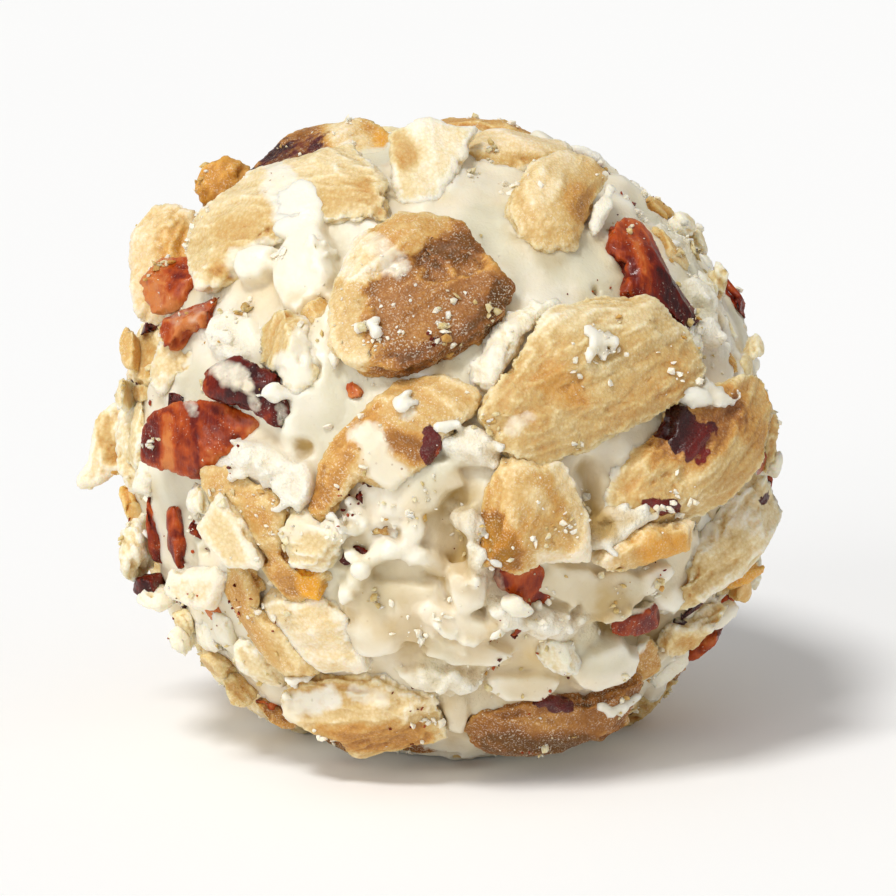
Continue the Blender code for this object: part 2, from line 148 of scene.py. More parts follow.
def seen_from_front(points):
    """Across and up of each point, as it shows from the front, and how far forward it lies."""
    forward = points @ FORWARD
    nearer = 1 - forward / SIGHT
    return np.stack((points @ ACROSS / nearer, points @ UPWARD / nearer), axis=1), forward


def on_sphere(across, up, radius):
    """The point of a sphere round the ball's middle that shows at this place on the front."""
    forward = 0.0
    for _ in range(4):
        nearer = 1 - forward / SIGHT
        forward = math.sqrt(max(radius ** 2 - (across ** 2 + up ** 2) * nearer ** 2, 0.0))
    nearer = 1 - forward / SIGHT
    return ACROSS * across * nearer + UPWARD * up * nearer + FORWARD * forward


def line_distance(places, corners):
    """How far each place lies from a line through the corners."""
    nearest = np.full(len(places), np.inf)
    for start, end in zip(corners, corners[1:]):
        start = np.array(start, float)
        along = np.array(end, float) - start
        share = np.clip((places - start) @ along / max(along @ along, 1e-9), 0, 1)
        nearest = np.minimum(nearest, np.linalg.norm(places - start - share[:, None] * along, axis=1))
    return nearest


# ---------------------------------------------------------------- shapes

class Shape:
    """A closed surface being worked on: points in millimetres, faces, and a value for each mask."""

    def __init__(self, points, faces):
        self.points = np.array(points, float)
        self.faces = faces
        self.masks = {}

    @classmethod
    def of_mesh(cls, mesh):
        """The shape of a mesh that is already in millimetres."""
        points = np.zeros(len(mesh.vertices) * 3)
        mesh.vertices.foreach_get("co", points)
        return cls(points.reshape(-1, 3), [tuple(face.vertices) for face in mesh.polygons])

    @classmethod
    def of_node(cls, name):
        """The shape of one of the frame's solids."""
        shape = cls.of_mesh(frame["nodes"][name].data)
        shape.points = shape.points / MM - (0, 0, BALL_HEIGHT)
        return shape

    def mesh(self, name):
        """A new mesh with this shape, in millimetres."""
        mesh = bpy.data.meshes.new(name)
        mesh.from_pydata(self.points.tolist(), [], self.faces)
        return mesh

    def remeshed(self, voxel):
        """The same surface made of even quads of this size."""
        work = bpy.data.objects.new("work", self.mesh("work"))
        bpy.context.scene.collection.objects.link(work)
        remesh = work.modifiers.new("Even", "REMESH")
        remesh.mode = "VOXEL"
        remesh.voxel_size = voxel
        depsgraph = bpy.context.evaluated_depsgraph_get()
        even = bpy.data.meshes.new_from_object(work.evaluated_get(depsgraph))
        bpy.data.objects.remove(work)
        return Shape.of_mesh(even)

    def thinned(self, share):
        """The shape with this share of its triangles, kept where it bends most."""
        work = bpy.data.objects.new("work", self.mesh("work"))
        bpy.context.scene.collection.objects.link(work)
        thin = work.modifiers.new("Thin", "DECIMATE")
        thin.ratio = share
        depsgraph = bpy.context.evaluated_depsgraph_get()
        light = bpy.data.meshes.new_from_object(work.evaluated_get(depsgraph))
        bpy.data.objects.remove(work)
        fewer = Shape.of_mesh(light)
        nearest = KDTree(len(self.points))
        for index, point in enumerate(self.points):
            nearest.insert(point, index)
        nearest.balance()
        kept = [nearest.find(point)[1] for point in fewer.points]
        fewer.masks = {mask: values[kept] for mask, values in self.masks.items()}
        return fewer

    def normals(self):
        """The outward normal at each point."""
        mesh = self.mesh("normals")
        normals = np.zeros(len(mesh.vertices) * 3)
        mesh.vertices.foreach_get("normal", normals)
        bpy.data.meshes.remove(mesh)
        return normals.reshape(-1, 3)

    def evened(self, rounds):
        """The points after this many rounds of moving each towards the middle of its neighbours."""
        mesh = self.mesh("edges")
        edges = np.zeros(len(mesh.edges) * 2, np.int32)
        mesh.edges.foreach_get("vertices", edges)
        bpy.data.meshes.remove(mesh)
        first, second = edges.reshape(-1, 2).T
        count = len(self.points)
        links = np.bincount(edges, minlength=count)[:, None]
        points = self.points
        for _ in range(rounds):
            total = np.stack([
                np.bincount(first, points[second, axis], count) + np.bincount(second, points[first, axis], count)
                for axis in range(3)
            ], axis=1)
            points = points * 0.4 + total / links * 0.6
        return points

    def relief(self, rounds):
        """How far each point stands out of the evened surface, in millimetres: under 0 in a hollow."""
        return ((self.points - self.evened(rounds)) * self.normals()).sum(1)

    def tree(self):
        """A search tree of the faces."""
        return BVHTree.FromPolygons(self.points.tolist(), self.faces)

    def placed(self, name, material, replaces=(), slot=None, smooth=True):
        """The shape as a piece of the truffle, kept within the solids' box."""
        low, high = (np.array(corner) / MM - (0, 0, BALL_HEIGHT) for corner in SOLID_BOX)
        self.points = np.clip(self.points, low - BOX_SLACK, high + BOX_SLACK)
        self.points[:, 2] = np.maximum(self.points[:, 2], low[2])
        mesh = self.mesh(name)
        mesh.transform(Matrix.Translation((0, 0, BALL_HEIGHT * MM)) @ Matrix.Scale(MM, 4))
        if smooth:
            mesh.shade_smooth()
        mesh.materials.append(material)
        for mask, values in self.masks.items():
            layer = mesh.attributes.new(mask, "FLOAT", "POINT")
            layer.data.foreach_set("value", np.clip(values, 0, 1).astype(np.float32))
        piece = bpy.data.objects.new(name, mesh)
        bpy.context.scene.collection.objects.link(piece)
        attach(piece, "root")
        if replaces:
            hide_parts(*replaces)
        return piece


def joined(shapes):
    """Several shapes as one."""
    points = np.concatenate([shape.points for shape in shapes])
    faces = []
    start = 0
    for shape in shapes:
        faces.extend(tuple(start + index for index in face) for face in shape.faces)
        start += len(shape.points)
    whole = Shape(points, faces)
    for mask in shapes[0].masks:
        whole.masks[mask] = np.concatenate([shape.masks[mask] for shape in shapes])
    return whole


def pebble(rng, middle, size, flat, uneven=0.2):
    """A small lump; flat is how much thinner it is than it is wide, and uneven is how rough it is."""
    work = bmesh.new()
    bmesh.ops.create_icosphere(work, subdivisions=1, radius=1)
    points = np.array([vertex.co for vertex in work.verts])
    faces = [tuple(vertex.index for vertex in face.verts) for face in work.faces]
    work.free()
    points *= np.array([[rng.uniform(1 - uneven, 1 + uneven)] for _ in points])
    turn = np.array(Matrix.Rotation(rng.uniform(0, math.tau), 3, Vector(random_direction(rng))))
    points = points * (1, rng.uniform(0.65, 1), 1 - flat) @ turn
    return Shape(points * size + middle, faces)


def random_direction(rng):
    """A direction in space, any as likely as another."""
    direction = np.array([rng.gauss(0, 1) for _ in range(3)])
    return direction / np.linalg.norm(direction)


def even_ball(cuts):
    """A unit ball of even quads."""
    steps = np.tan(np.linspace(-1, 1, cuts + 1) * math.pi / 4)
    u, v = (part.ravel() for part in np.meshgrid(steps, steps, indexing="ij"))
    corner = (np.arange(cuts)[:, None] * (cuts + 1) + np.arange(cuts)).ravel()
    square = np.stack((corner, corner + cuts + 1, corner + cuts + 2, corner + 1), axis=1)
    points = []
    faces = []
    for axis in range(3):
        for side in (1, -1):
            sheet = np.zeros((len(u), 3))
            sheet[:, axis] = side
            sheet[:, (axis + 1) % 3] = u
            sheet[:, (axis + 2) % 3] = v
            faces.append(square[:, ::side] + len(u) * len(points))
            points.append(sheet / np.linalg.norm(sheet, axis=1)[:, None])
    rounded = np.round(np.concatenate(points), 7) + 0.0
    unique, index = np.unique(rounded, axis=0, return_inverse=True)
    return Shape(unique, index.ravel()[np.concatenate(faces)].tolist())


# ---------------------------------------------------------------- colours and sizes to change

def shade(red, green, blue):
    """A colour given on the usual scale of 0 to 255, as linear light."""
    return tuple(
        part / 255 / 12.92 if part < 11 else ((part / 255 + 0.055) / 1.055) ** 2.4
        for part in (red, green, blue)
    )


def colour_setting(name, description, value):
    """A colour that the user can change."""
    return FloatVectorProperty(
        name=name, description=description, default=value, subtype="COLOR", size=3, min=0, max=1,
    )


class CoatSettings(bpy.types.PropertyGroup):
    """The white chocolate."""

    # Bright is a painted highlight, laid on the chocolate's crests and on some torn edges.
    bright: colour_setting("Bright", "The chocolate on its crests and torn edges", shade(243, 237, 220))
    ivory: colour_setting("Ivory", "The chocolate where it is thick", shade(236, 229, 211))
    cream: colour_setting("Cream", "The chocolate in patches that are a little warmer", shade(230, 217, 186))
    # Thin is painted shade: a greenish grey laid in random patches and along strokes under folds and lips.
    thin: colour_setting("Thin", "The chocolate where it is thin and greenish", shade(214, 208, 182))
    # Hollow is painted shade, laid in the chocolate's folds and hollows.
    hollow: colour_setting("Hollow", "The chocolate deep in its folds", shade(190, 160, 100))
    # Oiled is partly the nuts' oil stain and partly painted warm shade next to the nuts and over the lower coat.
    oiled: colour_setting("Oiled", "The chocolate stained by the nuts' oil", shade(212, 182, 124))
    thickness: FloatProperty(
        name="Thickness", description="Thickness of the coat over the ball",
        default=0.5 * MM, min=0, unit="LENGTH",
    )


class NutSettings(bpy.types.PropertyGroup):
    """The nuts, their skins and the crumbs."""

    blanched: colour_setting("Blanched", "Nut that isn't roasted", shade(243, 235, 214))
    cream: colour_setting("Cream", "Nut that is hardly roasted", shade(230, 211, 165))
    pale: colour_setting("Pale", "Nut that is barely roasted", shade(208, 177, 117))
    golden: colour_setting("Golden", "Nut that is lightly roasted", shade(196, 145, 75))
    toasted: colour_setting("Toasted", "Nut that is well roasted", shade(150, 96, 46))
    brown: colour_setting("Brown", "Nut that is roasted brown", shade(112, 58, 20))
    dark: colour_setting("Dark", "Nut that is nearly burnt", shade(62, 24, 8))
    honey: colour_setting("Honey", "Nut that shines where light comes through", shade(236, 166, 40))
    stain_red: colour_setting("Stain red", "The skin's stain where it is thin", shade(112, 16, 4))
    stain_dark: colour_setting("Stain dark", "The skin's stain where it is thick", shade(50, 5, 3))
    skin_tan: colour_setting("Skin tan", "The thinnest skin", shade(200, 120, 60))
    skin_amber: colour_setting("Skin amber", "Skin where light comes through", shade(172, 70, 16))
    skin_red: colour_setting("Skin red", "Most of the skin", shade(110, 24, 4))
    skin_plum: colour_setting("Skin plum", "The darkest skin", shade(52, 11, 9))
    detail: FloatProperty(
        name="Detail", description="Size of the faces on each nut",
        default=0.13 * MM, min=0.05 * MM, unit="LENGTH",
    )


class CrumbSettings(bpy.types.PropertyGroup):
    """The crumbs that cling to the truffle."""

    clusters: IntProperty(name="Clusters", description="How many clusters of crumbs there are", default=300, min=0)
    most: IntProperty(name="Most", description="The most crumbs in a cluster", default=16, min=2)
    largest: FloatProperty(
        name="Largest", description="How wide the largest crumb is",
        default=0.5 * MM, min=0.1 * MM, unit="LENGTH",
    )


class StageSettings(bpy.types.PropertyGroup):
    """The floor, the light and the camera."""

    floor: colour_setting("Floor", "The surface that the truffle rests on", (0.97, 0.97, 0.97))
    key_strength: FloatProperty(name="Key", description="Strength of the main light", default=1.84, min=0)
    fill_strength: FloatProperty(name="Fill", description="Strength of the light from the front", default=0.9, min=0)
    sky_strength: FloatProperty(name="Sky", description="Strength of the light all round", default=0.43, min=0)
    lens: FloatProperty(name="Lens", description="Focal length of the camera", default=200, subtype="DISTANCE_CAMERA")


# ---------------------------------------------------------------- materials

class Value:
    """A shader socket whose arithmetic adds Math nodes."""

    def __init__(self, tree, socket):
        self.tree = tree
        self.socket = socket

    def maths(self, operation, *inputs):
        node = self.tree.nodes.new("ShaderNodeMath")
        node.operation = operation
        for slot, value in zip(node.inputs, inputs):
            if isinstance(value, Value):
                self.tree.links.new(value.socket, slot)
            else:
                slot.default_value = value
        return Value(self.tree, node.outputs[0])

    def __add__(self, other):
        return self.maths("ADD", self, other)

    def __sub__(self, other):
        return self.maths("SUBTRACT", self, other)

    def __rsub__(self, other):
        return self.maths("SUBTRACT", other, self)

    def __mul__(self, other):
        return self.maths("MULTIPLY", self, other)

    def __truediv__(self, other):
        return self.maths("DIVIDE", self, other)

    __radd__ = __add__
    __rmul__ = __mul__

    def limited(self):
        """The value, kept from 0 to 1."""
        return self.maths("MINIMUM", self.maths("MAXIMUM", self, 0.0), 1.0)

    def above(self, low, high):
        """0 below low, 1 above high, and a straight rise between."""
        return ((self - low) / (high - low)).limited()


class Finish:
    """A material being put together from nodes."""

    def __init__(self, name):
        self.material = bpy.data.materials.new(name)
        self.material.use_nodes = True
        self.tree = self.material.node_tree
        self.tree.nodes.clear()
        self.place = self.node("ShaderNodeTexCoord", output="Object")

    def node(self, kind, settings=None, inputs=None, output=0):
        """One output of a new node, whose settings come before the values or links of its sockets."""
        made = self.tree.nodes.new(kind)
        for name, value in (settings or {}).items():
            if name == "stops":
                self.set_stops(made.color_ramp.elements, value)
            else:
                setattr(made, name, value)
        for name, value in (inputs or {}).items():
            if isinstance(value, Value):
                self.tree.links.new(value.socket, made.inputs[name])
            else:
                made.inputs[name].default_value = value
        return None if output is None else Value(self.tree, made.outputs[output])

    def set_stops(self, elements, stops):
        """A ramp's colours, from (position, colour) pairs."""
        while len(elements) < len(stops):
            elements.new(1.0)
        for element, (position, colour) in zip(elements, stops):
            element.position = position
            element.color = (*colour, 1)

    def mask(self, name):
        """A value kept with each point of the mesh."""
        return self.node("ShaderNodeAttribute", {"attribute_name": name}, output="Fac")

    def noise(self, size, detail=2.0, place=None):
        """Soft random values over this size in millimetres."""
        inputs = {"Vector": place or self.place, "Scale": 1 / (size * MM), "Detail": detail}
        return self.node("ShaderNodeTexNoise", inputs=inputs)

    def grains(self, size, output="Distance"):
        """Distance from the middle of the nearest grain, or a colour for each grain."""
        inputs = {"Vector": self.place, "Scale": 1 / (size * MM)}
        return self.node("ShaderNodeTexVoronoi", inputs=inputs, output=output)

    def stretched(self, scale):
        """The place in space, drawn out so that what is laid over it turns into fibres."""
        return self.node("ShaderNodeMapping", inputs={"Vector": self.place, "Scale": scale})

    def mix(self, share, low, high):
        """The low colour where share is 0 and the high colour where it is 1."""
        low, high = (part if isinstance(part, Value) else (*part, 1) for part in (low, high))
        return self.node("ShaderNodeMix", {"data_type": "RGBA"}, {0: share, 6: low, 7: high}, output=2)

    def ramp(self, value, stops):
        """The colour at this value of a ramp of (position, colour) pairs."""
        return self.node("ShaderNodeValToRGB", {"stops": stops}, {"Fac": value}, output="Color")

    def bumped(self, height, distance):
        """A normal from a height of 0 to 1 that stands for this many millimetres."""
        return self.node("ShaderNodeBump", inputs={"Height": height, "Distance": distance * MM, "Strength": 1.0})

    def surface(self, **sockets):
        """The finished material, from a Principled shader with these sockets."""
        named = {name.replace("_", " "): value for name, value in sockets.items()}
        shader = self.node("ShaderNodeBsdfPrincipled", inputs=named)
        self.node("ShaderNodeOutputMaterial", inputs={"Surface": shader}, output=None)
        return self.material


def chocolate_colour(finish):
    """The white chocolate's own colour: ivory, with warmer patches and a few specks of nut."""
    palette = bpy.context.scene.truffle_coat
    colour = finish.mix(finish.noise(3.2).above(0.38, 0.62) * 0.7, palette.ivory, palette.cream)
    specks = finish.grains(0.55).above(0.13, 0.08) * finish.noise(2.6).above(0.56, 0.66)
    return finish.mix(specks * 0.7, colour, bpy.context.scene.truffle_nuts.toasted)


def chocolate_material(name="white_chocolate", depth=0.9):
    """White chocolate: creamy and softly glossy, with painted light and shade (a warm tint near the nuts that is partly
    oil stain and partly painted shade, painted shade in its hollows and greenish patches, a painted highlight on its
    crests), and see-through to this depth.
    """
    palette = bpy.context.scene.truffle_coat
    finish = Finish(name)
    # Over its own colour the chocolate gets painted greenish shade, a warm tint near the nuts that is partly oil stain
    # and partly painted shade, painted shade in its hollows and a painted highlight on its crests.
    colour = finish.mix(finish.mask("thin") * 0.8, chocolate_colour(finish), palette.thin)
    colour = finish.mix(finish.mask("oil") * 0.85, colour, palette.oiled)
    colour = finish.mix(finish.mask("hollow"), colour, palette.hollow)
    colour = finish.mix(finish.mask("crest") * 0.9, colour, palette.bright)
    fine = finish.noise(0.16, 3.0)
    rough = finish.mask("crumbly")
    height = finish.noise(0.9, 2.0) * 0.3 + fine * (rough * 0.9 + 0.16)
    return finish.surface(
        Base_Color=colour,
        Roughness=finish.noise(1.4).above(0.2, 0.8) * 0.14 + rough * 0.25 + 0.30,
        Normal=finish.bumped(height, 0.14),
        Subsurface_Weight=0.5,
        Subsurface_Radius=(1.0, 0.86, 0.60),
        Subsurface_Scale=depth * MM,
        Specular_IOR_Level=0.45,
    )


def nut_material():
    """Broken roasted nut: toasted by its mask, granular, streaked with fibres and frosted."""
    palette = bpy.context.scene.truffle_nuts
    finish = Finish("broken_nut")
    grain = finish.grains(0.19)
    strands = finish.mask("fibre")
    fibres = finish.noise(0.30, 3.0) * 0.6 + strands * 0.4
    cloud = finish.noise(2.2, 3.0)
    toast = finish.mask("toast") + (cloud - 0.5) * 0.14 + (fibres - 0.5) * 0.14 + (grain - 0.42) * 0.13
    # The nut is painted lighter on its crests, as light shines through thin edges, and darker with painted shade in its
    # hollows.
    toast = toast - finish.mask("crest") * 0.15 + finish.mask("hollow") * 0.18 - (strands - 0.4) * 0.14
    colour = finish.ramp(toast.limited(), (
        (0.0, palette.blanched), (0.15, palette.cream), (0.30, palette.pale), (0.46, palette.golden),
        (0.64, palette.toasted), (0.82, palette.brown), (1.0, palette.dark),
    ))
    colour = finish.mix((finish.mask("glow") * (0.6 + fibres * 0.8)).limited(), colour, palette.honey)
    stain = (finish.mask("stain") * 1.6 + (cloud - 0.5) * 1.3 + (fibres - 0.5) * 1.0).above(0.45, 0.70)
    colour = finish.mix(stain, colour, finish.mix(cloud.above(0.35, 0.65), palette.stain_red, palette.stain_dark))
    frost = finish.noise(0.09, 2.0).above(0.54, 0.66) * finish.noise(0.9, 3.0).above(0.30, 0.60)
    colour = finish.mix(frost * finish.mask("dust") * (0.72 - stain * 0.6), colour, palette.blanched)
    film = (finish.mask("film") * 1.7 + (finish.noise(0.5, 4.0) - 0.5) * 1.3 - 0.45).limited()
    colour = finish.mix(film, colour, chocolate_colour(finish))
    height = fibres * 0.50 + (grain * 0.30 + finish.noise(0.09, 2.0) * 0.45) * (1 - film) + film * 0.3
    return finish.surface(
        Base_Color=colour,
        Roughness=0.50 - film * 0.14 - stain * 0.20 + (grain - 0.4) * 0.2,
        Normal=finish.bumped(height, 0.085),
        Coat_Weight=stain * 0.25 + film * 0.15,
        Coat_Roughness=0.14,
        Subsurface_Weight=0.46,
        Subsurface_Radius=(1.0, 0.76, 0.42),
        Subsurface_Scale=0.9 * MM,
        Specular_IOR_Level=0.36,
    )


def skin_material():
    """Nut skin: red-brown, ridged along its length and shiny, smeared with chocolate here and there."""
    palette = bpy.context.scene.truffle_nuts
    finish = Finish("nut_skin_finish")
    veins = finish.noise(0.36, 4.0, finish.stretched((2.4, 0.8, 0.7)))
    cloud = finish.noise(1.2, 3.0)
    tone = finish.mask("toast") + (veins - 0.5) * 0.35 + (cloud - 0.5) * 0.7 - (finish.mask("fibre") - 0.4) * 0.28
    # The skin is painted lighter on its crests and darker with painted shade in its hollows.
    tone = tone - finish.mask("crest") * 0.22 + finish.mask("hollow") * 0.32
    colour = finish.ramp(tone.limited(), (
        (0.0, palette.skin_tan), (0.28, palette.skin_amber), (0.60, palette.skin_red), (1.0, palette.skin_plum),
    ))
    frost = finish.noise(0.10, 2.0).above(0.62, 0.72) * finish.noise(1.3).above(0.50, 0.62)
    colour = finish.mix(frost * finish.mask("dust"), colour, palette.blanched)
    film = (finish.mask("film") * 1.7 + (finish.noise(0.5, 4.0) - 0.5) * 1.2 - 0.45).limited()
    colour = finish.mix(film * 0.9, colour, chocolate_colour(finish))
    height = veins * 0.4 + finish.noise(0.14, 2.0) * 0.2 + film * 0.4
    return finish.surface(
        Base_Color=colour,
        Roughness=finish.noise(0.5).above(0.3, 0.7) * 0.22 + 0.24 + film * 0.15,
        Normal=finish.bumped(height, 0.14),
        Coat_Weight=0.22,
        Coat_Roughness=0.10,
        Subsurface_Weight=0.15,
        Subsurface_Radius=(1.0, 0.30, 0.10),
        Subsurface_Scale=0.4 * MM,
        Specular_IOR_Level=0.20,
    )


def floor_material():
    """The pale surface under the truffle."""
    finish = Finish("pale_floor")
    colour = bpy.context.scene.truffle_stage.floor
    worn = tuple(part * 0.99 for part in colour)
    return finish.surface(
        Base_Color=finish.mix(finish.noise(60.0, 2.0), colour, worn),
        Roughness=0.9,
        Specular_IOR_Level=0.1,
    )


def material_of(name, maker):
    """The material of this name, made the first time it is asked for."""
    return bpy.data.materials.get(name) or maker()


# ---------------------------------------------------------------- nuts

# A stroke lays some of a mask along a line of places on the front, fading out over its width. A
# stroke of "lift" raises the surface instead, in millimetres. Fade is how much of the width fades.
Stroke = namedtuple("Stroke", "mask amount width corners fade", defaults=(0.65,))

